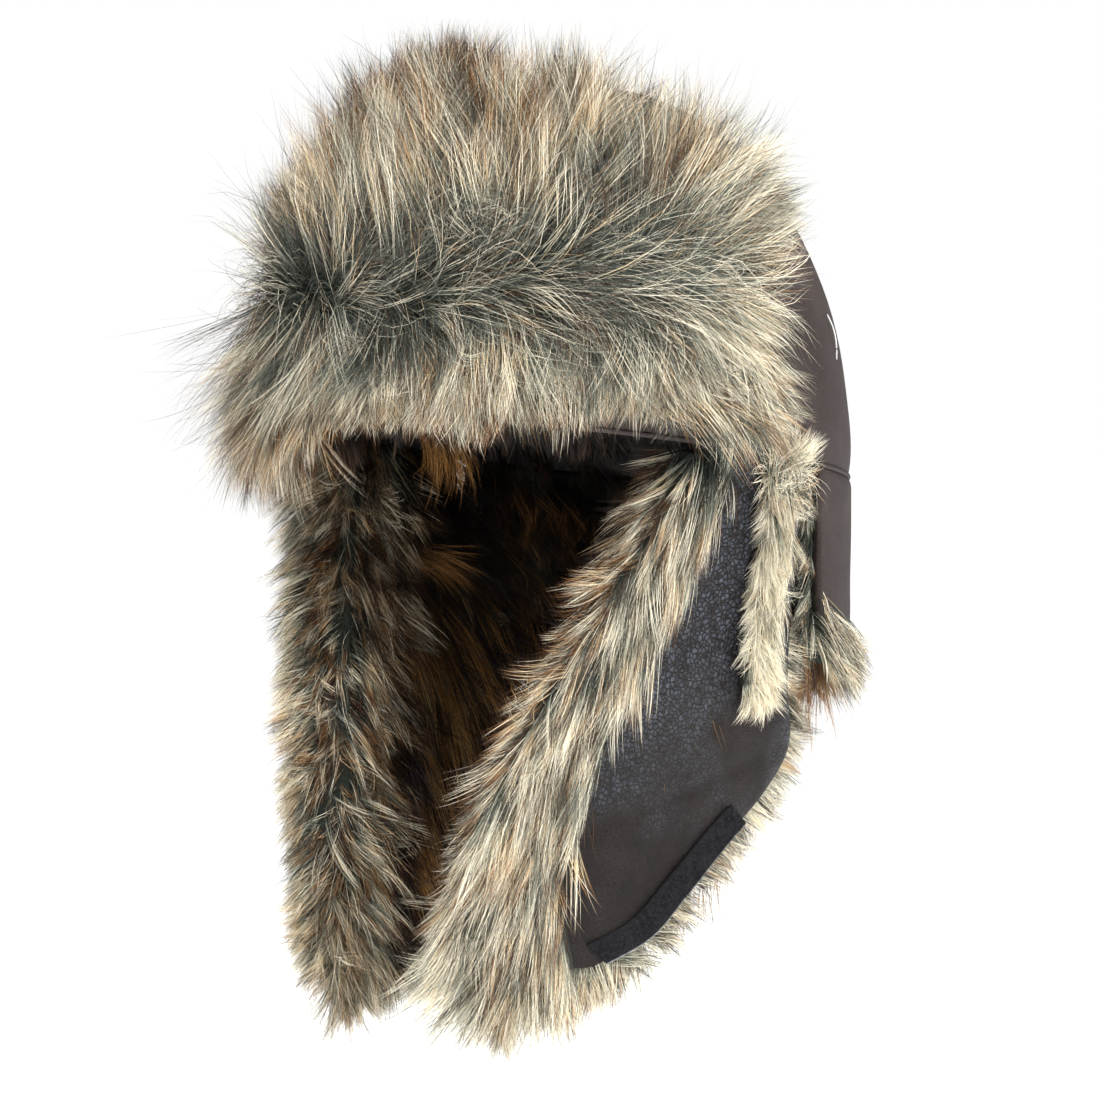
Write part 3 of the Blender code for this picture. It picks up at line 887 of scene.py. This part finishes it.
def build_crown():
    """Outer gores, wadding, lining with its fur, seams and hem."""

    def outside(u, v, base):
        full = rounded(u, v, 0.10)
        pucker = 0.35 * MM * np.sin(v * 70 + 3 * u) * (1 - rounded(u, 0 * v + 0.5, 0.12))
        swell = 0.4 * MM + 1.7 * MM * full + (pucker + 0.5 * MM * ripple(base, 0.05, 11)) * full
        return LEATHER_IN + swell

    for quarter, where in enumerate(QUARTERS):
        place = gore_place(quarter)
        gore = sheet(f"crown_outer_{where}", SUEDE, crown_surface, place, (40, 44), even(LEATHER_IN), outside)
        fit_out(gore, "crown", f"crown_gore_{where}")
        padding(f"crown_padding_{where}", "crown", f"crown_wadding_{where}", crown_surface, place,
                (24, 24), 21)
        skin = sheet(f"crown_lining_skin_{where}", SHADED_UNDERCOAT, crown_surface, place, (24, 24),
                     soft(0.4 * MM, 0.3 * MM, 0.012, 23), even(LINING_OUT))
        fit_out(skin, "crown", f"crown_lining_{where}")
    build_crown_seams()
    build_crown_fur()
    turn = np.linspace(0, 2 * math.pi, 240, endpoint=False)
    path = offset(crown_surface, turn, 0 * turn, LEATHER_OUT - 0.4 * MM)
    fit_out(tube("crown_hem_piping", SUEDE, path, 1.0 * MM, 8, closed=True), "crown")


def build_crown_seams():
    """A row of stitches on each side of every seam, and a welt under each pair of seams."""
    climb = np.linspace(0.02, 1.50, 160)
    shift = SEAM_STITCH_OUT / (HALF_WIDTH * np.maximum(np.cos(climb), 0.05))
    for quarter in range(4):
        for side, sign in (("a", -1), ("b", 1)):
            row = stitches(f"crown_seam_stitches_{quarter}_{side}", THREAD, crown_surface,
                           (quarter * math.pi / 2 + sign * shift, climb), LEATHER_OUT + 0.5 * MM)
            fit_out(row, "crown")
    climb = np.linspace(0.0, math.pi / 2, 80)[:-2]
    top = np.array(((0.0, 0.0, CROWN_HEIGHT + LEATHER_IN),))
    for number, turn in enumerate((0.0, math.pi / 2)):
        near = offset(crown_surface, turn + 0 * climb, climb, LEATHER_IN)
        far = offset(crown_surface, turn + math.pi + 0 * climb, climb, LEATHER_IN)
        path = np.concatenate((near, top, far[::-1]))
        fit_out(tube(f"crown_seam_welt_{number + 1}", SUEDE, path, 1.1 * MM, 8), "crown")


def build_crown_fur():
    """Pile inside the crown painted dark as painted shade, more of it at the brim and by the far temple, and
    a wisp at the brow.
    """

    def ring_place(low, high, start=-180, end=180):
        return lambda u, v: (np.radians(mix(start, end, u)), mix(low, high, v))

    hair = functools.partial(grow, crown_surface, plain=True)
    flow = lie(0.0, -1.0, 0.5, 0.05, 31)
    # Pile painted dark: painted shade inside the crown.
    pile = hair(ring_place(0.06, 1.45), 10000, even(18 * MM), (-0.9, -0.35), flow,
                tone_of(0.14, 0.08, 0.03, 33), 41, tuft=5 * MM, width=0.6 * MM)
    brim = hair(ring_place(0.0, 0.07), 6000, even(17 * MM), (-0.35, 0.0), flow,
                tone_of(0.16, 0.16, 0.012, 34), 42, distance=-1 * MM)
    brow = hair(ring_place(0.0, 0.03, 82, 91), 170, even(42 * MM), (-0.5, 0.5), lie(-0.8, -0.6),
                tone_of(0.47), 43, per_tuft=24, gather=0.6, wander=0.35, stray=0.35, width=0.2 * MM)
    temple = hair(ring_place(0.0, 0.05, 108, 176), 2200, even(26 * MM), (0.0, 0.1),
                  lie(0.0, -1.0, 0.5, 0.02, 44), tone_of(0.22, 0.16, 0.012, 45), 46,
                  distance=2 * MM, depth=5 * MM)
    put_fur("crown_lining_pile", "crown", [pile, brim, brow, temple], material=SHADED_LINING_FUR)


# Long straight strands of inner fur.
STRAND = {"per_tuft": 6, "gather": 0.5, "wander": 0.12, "stray": 0.07, "plain": True}

# Two points on the slant where each flap leaves the crown; here they only tell fit_out that a piece belongs
# to a flap.
FRONT_BEND = ((0, -0.0640, 0.0745), (0, -0.1025, 0.1013))
NECK_BEND = ((0, 0.0640, -0.0445), (0, 0.0943, -0.0656))
EAR_BEND_OUT = 90 * MM
EAR_BEND_TOP = 17 * MM
FRONT_PATCH = front_place(12, 0.0)
FRONT_FUR_PARTS = 5


def front_where(u, v):
    """Turn and share of the front fur, and the signed height above its parting."""
    turn, share = FRONT_PATCH(u, v)
    return turn, share, share - (0.38 + 0.28 * np.cos(turn) ** 2)


def front_flow(u, v, base):
    """Fur lies up above the parting, down below it, and backwards at both ends."""
    turn, share, above = front_where(u, v)
    away = np.clip(above / 0.07, -1, 1)
    combed = -0.7 * (1 - np.abs(away))
    swirl = 0.65 * ripple(base, 0.035, 51) * (1 - 0.5 * np.abs(away)) + 0.22 * ripple(base, 0.018, 52)
    ends = np.clip((np.abs(np.cos(turn)) - 0.84) / 0.13, 0, 1) * np.sign(np.cos(turn))
    return -1.6 * ends + combed + swirl, away + 0.12 * ripple(base, 0.025, 53) + 0.01


def front_length(u, v, base):
    """As long as the room up to the crown's top, down to the brow or back to the flap's ends allows."""
    turn, share, above = front_where(u, v)
    far_side = np.clip((-np.cos(turn) - 0.06) / 0.35, 0, 1)
    height = base[..., 2] / MM
    up = np.clip(smooth_table(FRONT_TIPS, np.degrees(turn)) - height, 13, 62)
    near_brow = np.exp(-(((turn - math.radians(62)) / math.radians(18)) ** 2))
    hang = mix(27, -16, far_side) - 9 * near_brow + 6 * ripple(base, 0.022, 66)
    down = np.clip(height - hang, 12, 54)
    length = np.where(above > 0, up, down)
    arc = np.minimum(turn, math.pi - turn) - math.radians(2)
    near_end = np.clip((np.abs(np.cos(turn)) - 0.84) / 0.10, 0, 1)
    length = mix(length, np.clip(140 * arc, 20, 50), near_end)
    return length * (1 + 0.08 * ripple(base, 0.03, 63)) * MM


TONES_UP = ((0.0, TONE_MOSS), (0.12, TONE_MOSS - 0.04), (0.21, TONE_SAGE), (0.27, TONE_WHITE),
            (0.44, TONE_CREAM), (0.54, TONE_WARM), (0.74, TONE_BROWN), (1.0, TONE_BROWN - 0.04))
TONES_DOWN = ((0.0, TONE_MOSS), (0.15, TONE_MOSS - 0.06), (0.35, TONE_SAGE), (0.60, TONE_CREAM),
              (1.0, TONE_WARM - 0.08))


def front_tone(u, v, base):
    """Sage by the parting, cream between, brown towards the top and the lower edge."""
    turn, share, above = front_where(u, v)
    up = smooth_table(TONES_UP, np.clip(above / 0.60, 0, 1))
    down = smooth_table(TONES_DOWN, np.clip(-above / 0.40, 0, 1))
    tone = np.where(above > 0, up, down)
    before_end = np.clip((np.cos(turn) - 0.45) / 0.25, 0, 1)
    near_end = np.clip((np.cos(turn) - 0.80) / 0.05, 0, 1)
    tone = mix(tone + 0.12 * before_end, TONE_WHITE, near_end)
    streaks = ripple(base * (1, 1, 0.2), 0.014, 65)
    return tone + 0.06 * ripple(base, 0.02, 64) + 0.10 * streaks


def build_front_flap():
    """Backing, interfacing and the fur of the turned-up front flap."""
    backing = sheet("front_flap_back_leather", SUEDE, front_surface, front_place(10, 0.03), (80, 24),
                    soft(0.0, 0.3 * MM, 0.06, 61), even(1.2 * MM))
    fit_out(backing, "front_flap", "front_flap_backing", FRONT_BEND)
    inset = part_of(front_place(12, 0.06), 0.0, 1.0, 0.03, 1.0)
    stiff = sheet("front_flap_stiffener", STIFFENER, front_surface, inset, (60, 16),
                  even(1.7 * MM), even(2.7 * MM))
    fit_out(stiff, "front_flap", "front_flap_interfacing", FRONT_BEND)

    def skin_back(u, v, base):
        return mix(1.5 * MM, FRONT_FUR_IN, rounded(u, v, 0.03))

    def skin_face(u, v, base):
        return FRONT_FUR_IN + (0.5 + 6.5 * rounded(u, v, 0.12)) * MM + 1.2 * MM * ripple(base, 0.03, 62)

    skin = sheet("front_flap_fur_skin", UNDERCOAT, front_surface, front_place(9, 0.0), (100, 36),
                 skin_back, skin_face)
    fit_out(skin, "front_flap", "front_flap_fur", FRONT_BEND)
    for number in range(FRONT_FUR_PARTS):
        build_front_fur(number, number / FRONT_FUR_PARTS, (number + 1) / FRONT_FUR_PARTS)


def build_front_fur(number, low, high):
    """One part of the front flap's fur: its pile, loose guard hairs and pale wisps."""

    def here(rule, scale=1.0):
        return lambda u, v, base: scale * np.asarray(rule(mix(low, high, u), v, base))

    hair = functools.partial(grow, front_surface, part_of(FRONT_PATCH, low, high))
    pile = hair(18500, here(front_length), (0.55, 0.06), here(front_flow), here(front_tone), 70 + number,
                distance=6 * MM, depth=4 * MM)
    loose = hair(1000, here(front_length, 1.2), (0.9, 0.3), here(front_flow), tone_of(0.1), 80 + number,
                 distance=8 * MM, per_tuft=3, gather=0.2, wander=0.45, stray=0.4, width=0.15 * MM, plain=True)
    wisps = hair(900, here(front_length, 0.9), (0.6, 0.1), here(front_flow), tone_of(TONE_WHITE), 90 + number,
                 distance=9 * MM, per_tuft=22, gather=0.8, wander=0.45, width=0.18 * MM, plain=True)
    put_fur(f"front_flap_fur_{number + 1}", "front_flap", [pile, loose, wisps], FRONT_BEND)


def build_ear_flap(side):
    """Leather, padding, lining, trims and closure of one ear flap."""
    mirror = side == "right"
    sign = -1 if mirror else 1
    body = f"{side}_ear_flap"
    bend = ((sign * EAR_BEND_OUT, 0, EAR_BEND_TOP), (sign * EAR_BEND_OUT, 0, 0))

    def outside(u, v, base):
        full = rounded(u, v, 0.05)
        crease = np.exp(-(((v - 0.70 - 0.30 * (u - 0.5)) / 0.025) ** 2)) * rounded(u, 0 * v + 0.5, 0.3)
        fold = np.exp(-(((v - 0.80 + 0.35 * (u - 0.5)) / 0.03) ** 2)) * rounded(u, 0 * v + 0.5, 0.3)
        wave = 1.0 * ripple(base, 0.07, 91) - 0.9 * crease - 0.5 * fold
        return LEATHER_IN + (0.5 + 1.5 * full + wave * full) * MM

    leather = sheet(f"{side}_flap_outer_leather", CRACKLE, ear_surface, ear_place, (50, 110),
                    turned_edge, outside, mirror=mirror)
    fit_out(leather, body, f"{side}_ear_flap_leather", bend)
    padding(f"{side}_flap_padding", body, f"{side}_ear_flap_wadding", ear_surface, ear_place, (20, 50), 92,
            bend, mirror)
    skin = sheet(f"{side}_flap_lining_skin", UNDERCOAT, ear_surface, ear_place, (24, 60),
                 lambda u, v, b: -2.5 * MM * rounded(u, v, 0.2) + 0.4 * MM * ripple(b, 0.02, 94),
                 even(LINING_OUT), mirror=mirror)
    fit_out(skin, body, f"{side}_ear_flap_fur_lining", bend)
    hair = functools.partial(grow, ear_surface, mirror=mirror)
    build_lining_fur(side, body, bend, hair, mirror)
    build_front_trim(side, body, bend, hair, mirror)
    build_rear_trim(side, body, bend, hair, mirror)
    build_closure(side, body, hair, mirror)


def build_lining_fur(side, body, bend, hair, seed):
    """Fur inside an ear flap: sage and cream near its edges, painted dark deeper in as painted shade, with
    golden strands there.
    """

    def flow(u, v, base):
        fore = np.clip((u - 0.45) / 0.35, -1, 1)
        return 0.9 * fore + 0.4 * ripple(base, 0.04, 95), 1.0 + 0.3 * ripple(base, 0.05, 96)

    def edge_tone(u, v, base):
        # Painted shade: the tone falls towards near-black away from the flap's front edge.
        rim = mix(TONE_BROWN, TONE_CREAM, v * v)
        return mix(TONE_GUARD + 0.05, rim, np.clip((u - 0.1) / 0.9, 0, 1)) + 0.20 * ripple(base, 0.016, 97)

    def straight(u, v, base):
        return 0.12 * ripple(base, 0.05, 89) - 0.5 * np.clip(1 - u / 0.25, 0, 1), 1.0 + 0 * u

    def wisp_place(u, v):
        return np.radians(mix(13, 19, u)), mix(38 * MM, 45 * MM, v)

    inside = (-0.70, -0.20)
    edge = hair(part_of(ear_place, 0.66, 1.0), 13000, even(30 * MM), inside, flow, edge_tone, 100 + seed)
    loose = hair(part_of(ear_place, 0.8, 1.0), 900, even(35 * MM), (0.0, -0.2), flow, tone_of(0.1),
                 108 + seed, per_tuft=3, gather=0.2, wander=0.5, stray=0.3, width=0.16 * MM, plain=True)
    put_fur(f"{side}_flap_lining_edge_fur", body, [edge, loose], bend)
    back = hair(part_of(ear_place, 0.0, 0.05, 0.30, 1.0), 7000, even(25 * MM), (0.15, 0.30),
                lambda u, v, b: (-1.0 + 0 * u, 0.5 + 0.4 * ripple(b, 0.02, 101)),
                tone_of(TONE_SAGE - 0.04, 0.12, 0.014, 102), 104 + seed,
                distance=-1 * MM, depth=3 * MM, white=0.70)
    lower = hair(part_of(ear_place, 0.0, 1.0, 0.93, 1.0), 7000, even(30 * MM), (-0.1, 0.1),
                 lambda u, v, b: (0.4 * (u - 0.5) + 0.4 * ripple(b, 0.02, 103), 1.0 + 0 * u),
                 tone_of(TONE_CREAM + 0.06, 0.12, 0.014, 104), 106 + seed,
                 distance=-1 * MM, depth=5 * MM, white=0.72)
    put_fur(f"{side}_flap_hem_fur", body, [back, lower], bend)
    # Deep pile painted dark: painted shade inside the flap.
    deep = hair(part_of(ear_place, 0.0, 0.74), 15000, even(36 * MM), inside, flow,
                tone_of(0.12, 0.14, 0.012, 98), 110 + seed, plain=True)
    gold = hair(part_of(ear_place, 0.0, 0.62, 0.20, 0.80), 3200, even(58 * MM), (-0.40, 0.0), straight,
                tone_of(TONE_CREAM, 0.10, 0.02, 99), 112 + seed, **STRAND)
    wisp = hair(wisp_place, 170, even(42 * MM), (-0.9, 0.2), lie(-1.0, 0.7), tone_of(0.47), 114 + seed,
                per_tuft=24, gather=0.5, wander=0.35, stray=0.35, width=0.2 * MM, plain=True)
    put_fur(f"{side}_flap_lining_deep_fur", body, [deep, gold, wisp], bend, SHADED_LINING_FUR)


def build_front_trim(side, body, bend, hair, mirror):
    """Fur trim on the front edge of an ear flap, with the thick rim where it turns inwards."""

    def trim_flow(u, v, base):
        spread = 1.4 * (u - 0.5) * np.clip((v - 0.75) / 0.2, 0, 1)
        return 0.50 - 0.20 * v + spread + 0.10 * ripple(base, 0.03, 111), 1.0 + 0.1 * ripple(base, 0.05, 112)

    def trim_length(u, v, base):
        if mirror:
            return mix(32, 18, v) * MM
        return mix(36, 46, np.clip(v * 1.2, 0, 1)) * MM

    def trim_tone(u, v, base):
        pale = np.clip(1.6 * v - 0.2, 0, 1)
        return mix(TONE_SAGE, TONE_CREAM + 0.09, pale) + 0.12 * ripple(base, 0.013, 113)

    def rim_tone(u, v, base):
        return mix(TONE_BROWN, TONE_CREAM + 0.07, v**1.8) + 0.20 * ripple(base, 0.014, 93)

    skin = sheet(f"{side}_flap_front_trim_skin", UNDERCOAT, ear_surface,
                 part_of(trim_place, 0.06, 0.94, 0, 0.93), (12, 60), even(LEATHER_OUT + 2.6 * MM),
                 lambda u, v, b: LEATHER_OUT + (3.2 + 2.5 * rounded(u, v, 0.3)) * MM, mirror=mirror)
    fit_out(skin, body, f"{side}_ear_flap_front_trim", bend)
    skin = sheet(f"{side}_flap_front_rim_skin", UNDERCOAT, ear_surface,
                 part_of(rim_place, 0.25, 0.9, 0, 0.93), (6, 60), even(1.0 * MM),
                 even(LEATHER_OUT + 3.0 * MM), mirror=mirror)
    fit_out(skin, body, bend=bend)
    patch = part_of(trim_place, 0.0, 1.0, 0.0, 0.94)
    pile = hair(patch, 19000, trim_length, (1.15, 0.60) if mirror else (0.26, 0.0), trim_flow, trim_tone,
                120 + mirror, distance=LEATHER_OUT + 3 * MM, depth=2 * MM, tuft=2.2 * MM, clump=6 * MM,
                wander=0.18, droop=0.05, white=0.74)
    inner = hair(rim_place, 5500, even(27 * MM), (-0.4, -0.25), lie(0.3, 1.0, 0.7, 0.02, 94), rim_tone,
                 126 + mirror, depth=10 * MM)
    along = hair(rim_place, 8500, even(34 * MM), (0.25, 0.0), lie(0.35, 1.0, 0.8, 0.025, 92), rim_tone,
                 128 + mirror, depth=9 * MM, wander=0.45)
    rim = hair(rim_place, 7500, lambda u, v, b: mix(26, 17, v) * MM, (0.9, 0.5) if mirror else (0.2, 0.0),
               lambda u, v, b: (0.9 - 0.7 * v * v + 0.3 * ripple(b, 0.02, 99), 0.9 + 0 * u), rim_tone,
               102 + mirror, distance=-1 * MM, depth=12 * MM)
    loose = hair(patch, 600, lambda u, v, b: 1.2 * trim_length(u, v, b), (0.8, 0.4), trim_flow,
                 tone_of(0.1), 124 + mirror, distance=LEATHER_OUT + 4 * MM, per_tuft=3, gather=0.2,
                 wander=0.4, stray=0.3, width=0.15 * MM, plain=True)
    put_fur(f"{side}_flap_front_trim_fur", body, [pile, loose], bend)
    put_fur(f"{side}_flap_front_rim_fur", body, [rim, inner, along], bend)


def build_rear_trim(side, body, bend, hair, mirror):
    """Short pale fur strip down the top of an ear flap's rear edge."""
    skin = sheet(f"{side}_flap_rear_trim_skin", UNDERCOAT, ear_surface, part_of(strip_place, 0.15, 0.95),
                 (10, 40), even(LEATHER_OUT + 1.0 * MM),
                 lambda u, v, b: LEATHER_OUT + (3.2 + 1.8 * rounded(u, v, 0.3)) * MM, mirror=mirror)
    fit_out(skin, body, f"{side}_ear_flap_rear_trim", bend)

    def flow(u, v, base):
        return 0.25 + 0.5 * ripple(base, 0.02, 131), 1.0 - 2.2 * np.clip(1 - v / 0.12, 0, 1)

    def tone(u, v, base):
        pale = ripple(base, 0.012, 132)
        return np.where(pale > -0.35, TONE_WHITE, mix(TONE_CREAM, TONE_SAGE - 0.06, v) + 0.08 * pale)

    pile = hair(part_of(strip_place, 0.2, 1.0), 11000, even(18 * MM), (0.60, 0.05), flow, tone, 134 + mirror,
                distance=LEATHER_OUT + 3 * MM, depth=2 * MM, tuft=3 * MM, clump=6 * MM, wander=0.4,
                white=0.60)
    put_fur(f"{side}_flap_rear_trim_fur", body, [pile], bend)


def build_closure(side, body, hair, mirror):
    """Hook-and-loop tape: loops outside the left flap, hooks inside the right one."""
    if side == "left":
        low, high = LEATHER_OUT + 1.6 * MM, LEATHER_OUT + 2.8 * MM
        kind, face, out = "loop", high, 1
    else:
        low, high = -4.6 * MM, -3.3 * MM
        kind, face, out = "hook", low, -1
    tape = sheet(f"{side}_closure_{kind}_tape", TAPE, ear_surface, closure_place, (24, 60), even(low),
                 even(high), mirror=mirror)
    fit_out(tape, body, f"{side}_closure_{kind}_strip")
    fuzz = hair(closure_place, 4000, even(1.5 * MM), (1.2 * out, 0.4 * out),
                lambda u, v, b: (np.sin(v * 900), np.cos(u * 700) + 0.2), tone_of(0.5), 140 + mirror,
                distance=face, per_tuft=3, tuft=0.6 * MM, clump=2 * MM, gather=0.3, wander=0.4, stray=0.5,
                droop=0.0, width=0.16 * MM, plain=True)
    put_fur(f"{side}_closure_{kind}s", body, [fuzz], material=BLACK_FUZZ)
    if side == "left":
        v = np.linspace(0, 1, 60)
        path = offset(ear_surface, *closure_place(0 * v - 0.05, v), LEATHER_OUT + 2.0 * MM)
        fit_out(tube("left_closure_edge_cord", GREY_THREAD, path, 0.4 * MM), body)


def build_neck_flap():
    """Leather, padding and fur lining of the neck flap."""
    place = neck_place(NECK_BOTTOM)

    def outside(u, v, base):
        full = rounded(u, v, 0.07)
        fold = np.exp(-(((v - 0.35 - 3.0 * np.minimum(u, 1 - u)) / 0.05) ** 2))
        return LEATHER_IN + (0.4 + 1.6 * full + (0.5 * ripple(base, 0.06, 151) - 0.8 * fold) * full) * MM

    leather = sheet("neck_flap_outer_leather", SUEDE, neck_surface, place, (130, 40), turned_edge, outside)
    fit_out(leather, "neck_flap", "neck_flap_leather", NECK_BEND)
    padding("neck_flap_padding", "neck_flap", "neck_flap_wadding", neck_surface, place, (60, 16), 152,
            NECK_BEND)
    skin = sheet("neck_flap_lining_skin", UNDERCOAT, neck_surface, neck_place(-64 * MM, 14 * MM), (80, 24),
                 lambda u, v, b: -2.0 * MM * rounded(u, v, 0.2) + 0.4 * MM * ripple(b, 0.02, 154),
                 even(LINING_OUT))
    fit_out(skin, "neck_flap", "neck_flap_fur_lining", NECK_BEND)
    build_neck_fur()


def build_neck_fur():
    """Pile inside the neck flap painted dark as painted shade, with golden strands at its sides, and pale fur
    round its hem.
    """
    whole = neck_place(-62 * MM, 14 * MM)
    down = lie(0.0, -1.0, 0.5, 0.04, 155)
    hair = functools.partial(grow, neck_surface)
    # Pile painted dark: painted shade inside the neck flap.
    pile = hair(part_of(whole, 0.0, 1.0, 0.0, 0.95), 19000, even(28 * MM), (-0.7, -0.2), down,
                tone_of(0.24, 0.22, 0.012, 156), 160, plain=True)
    strands = []
    for number, (low, high) in enumerate(((0.0, 0.13), (0.87, 1.0))):
        strands.append(hair(part_of(whole, low, high, 0.55, 1.0), 700, even(46 * MM), (-0.25, 0.0), down,
                            tone_of(TONE_CREAM - 0.02), 158 + number, **STRAND))
    put_fur("neck_flap_lining_fur", "neck_flap", [pile, *strands], NECK_BEND, SHADED_LINING_FUR)
    fringe = hair(part_of(whole, 0.0, 1.0, 0.72, 1.0), 15000, even(23 * MM), (0.85, 0.35), down,
                  tone_of(TONE_SAGE, 0.12, 0.014, 157), 162, distance=1 * MM, depth=3 * MM, white=0.74)
    rims = []
    for number, (low, high, inwards) in enumerate(((0.0, 0.02, 1.0), (0.98, 1.0, -1.0))):
        rims.append(hair(part_of(whole, low, high), 2500, even(14 * MM), (-0.2, 0.0), lie(inwards, -1.4),
                         tone_of(TONE_SAGE, 0.14, 0.014, 158), 164 + number, distance=1 * MM, depth=3 * MM))
    put_fur("neck_flap_hem_fur", "neck_flap", [fringe, *rims], NECK_BEND)


def build_small_things():
    """Sweatband finish and the white tacking thread left on the crown."""
    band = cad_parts["sweatband"]
    band.data.materials.clear()
    band.data.materials.append(BAND)
    share = np.linspace(0, 1, 24)
    turn = np.radians(-31 + 2.0 * np.sin(share * 3.1))
    height = LEATHER_OUT + (0.8 + 2.0 * np.sin(share * math.pi)) * MM
    path = offset(crown_surface, turn, mix(0.27, 0.40, share), height)
    fit_out(tube("white_tack_thread", WHITE_THREAD, path, 0.3 * MM), "crown")


# ---------------------------------------------------------------- camera, floor and light

VIEW_TURN = math.radians(40.0)
VIEW_LIFT = math.radians(2.0)
VIEW_DISTANCE = 2.5
VIEW_WIDTH = 0.4235
AIM_RIGHT = -13 * MM
AIM_UP = -23 * MM
FLOOR_DROP = 0.10


def build_view():
    """Camera at three quarters from the front, level with the ears."""
    towards = Vector((math.sin(VIEW_TURN) * math.cos(VIEW_LIFT), -math.cos(VIEW_TURN) * math.cos(VIEW_LIFT),
                      math.sin(VIEW_LIFT)))
    right = Vector((math.cos(VIEW_TURN), math.sin(VIEW_TURN), 0.0))
    up = right.cross(-towards)
    data = bpy.data.cameras.new("view")
    data.sensor_width = 36.0
    data.lens = data.sensor_width * VIEW_DISTANCE / VIEW_WIDTH
    camera = bpy.data.objects.new("view", data)
    camera.location = AIM_RIGHT * right + AIM_UP * up + VIEW_DISTANCE * towards
    camera.rotation_euler = (-towards).to_track_quat("-Z", "Y").to_euler()
    bpy.context.scene.collection.objects.link(camera)
    bpy.context.scene.camera = camera


def area_light(name, place, size, power):
    """Soft square light aimed at the hat."""
    data = bpy.data.lights.new(name, "AREA")
    data.shape = "SQUARE"
    data.size = size
    data.energy = power
    lamp = bpy.data.objects.new(name, data)
    lamp.location = place
    lamp.rotation_euler = (-Vector(place)).to_track_quat("-Z", "Y").to_euler()
    bpy.context.scene.collection.objects.link(lamp)


def build_stage():
    """Pale floor, white surroundings and soft lights."""
    low = CAD_BOUNDS[0][2] - FLOOR_DROP
    side = 12.0
    corners = [(-side, -side, low), (side, -side, low), (side, side, low), (-side, side, low)]
    mesh = bpy.data.meshes.new("floor")
    mesh.from_pydata(corners, [], [(0, 1, 2, 3)])
    made = Nodes("pale_floor", 0.9, specular=0.1)
    grain = made.noise(3.0)
    pale = made.ramp(grain, ((0.3, (0.94, 0.94, 0.94)), (0.7, (0.97, 0.97, 0.97))))
    made.colour(pale)
    made.link(pale, made.shader.inputs["Emission Color"])
    made.shader.inputs["Emission Strength"].default_value = 0.88
    new_object("floor", mesh, made.material)
    world = bpy.data.worlds.new("studio")
    world.use_nodes = True
    tree = world.node_tree
    backdrop = tree.nodes["Background"]
    backdrop.inputs["Color"].default_value = (1, 1, 1, 1)
    path = tree.nodes.new("ShaderNodeLightPath")
    strength = tree.nodes.new("ShaderNodeMapRange")
    strength.inputs["To Min"].default_value = 0.27
    strength.inputs["To Max"].default_value = 1.0
    tree.links.new(path.outputs["Is Camera Ray"], strength.inputs["Value"])
    tree.links.new(strength.outputs["Result"], backdrop.inputs["Strength"])
    bpy.context.scene.world = world
    bpy.context.scene.view_settings.view_transform = "Standard"
    area_light("key_light", (0.7, -1.4, 1.9), 0.45, 46)
    area_light("fill_light", (-1.5, -0.9, 0.9), 0.7, 12)
    area_light("side_light", (1.6, -0.1, 0.6), 0.7, 15)
    area_light("top_light", (0.0, 0.4, 1.8), 0.7, 14)


build_view()
build_stage()
build_crown()
build_front_flap()
build_ear_flap("left")
build_ear_flap("right")
build_neck_flap()
build_small_things()
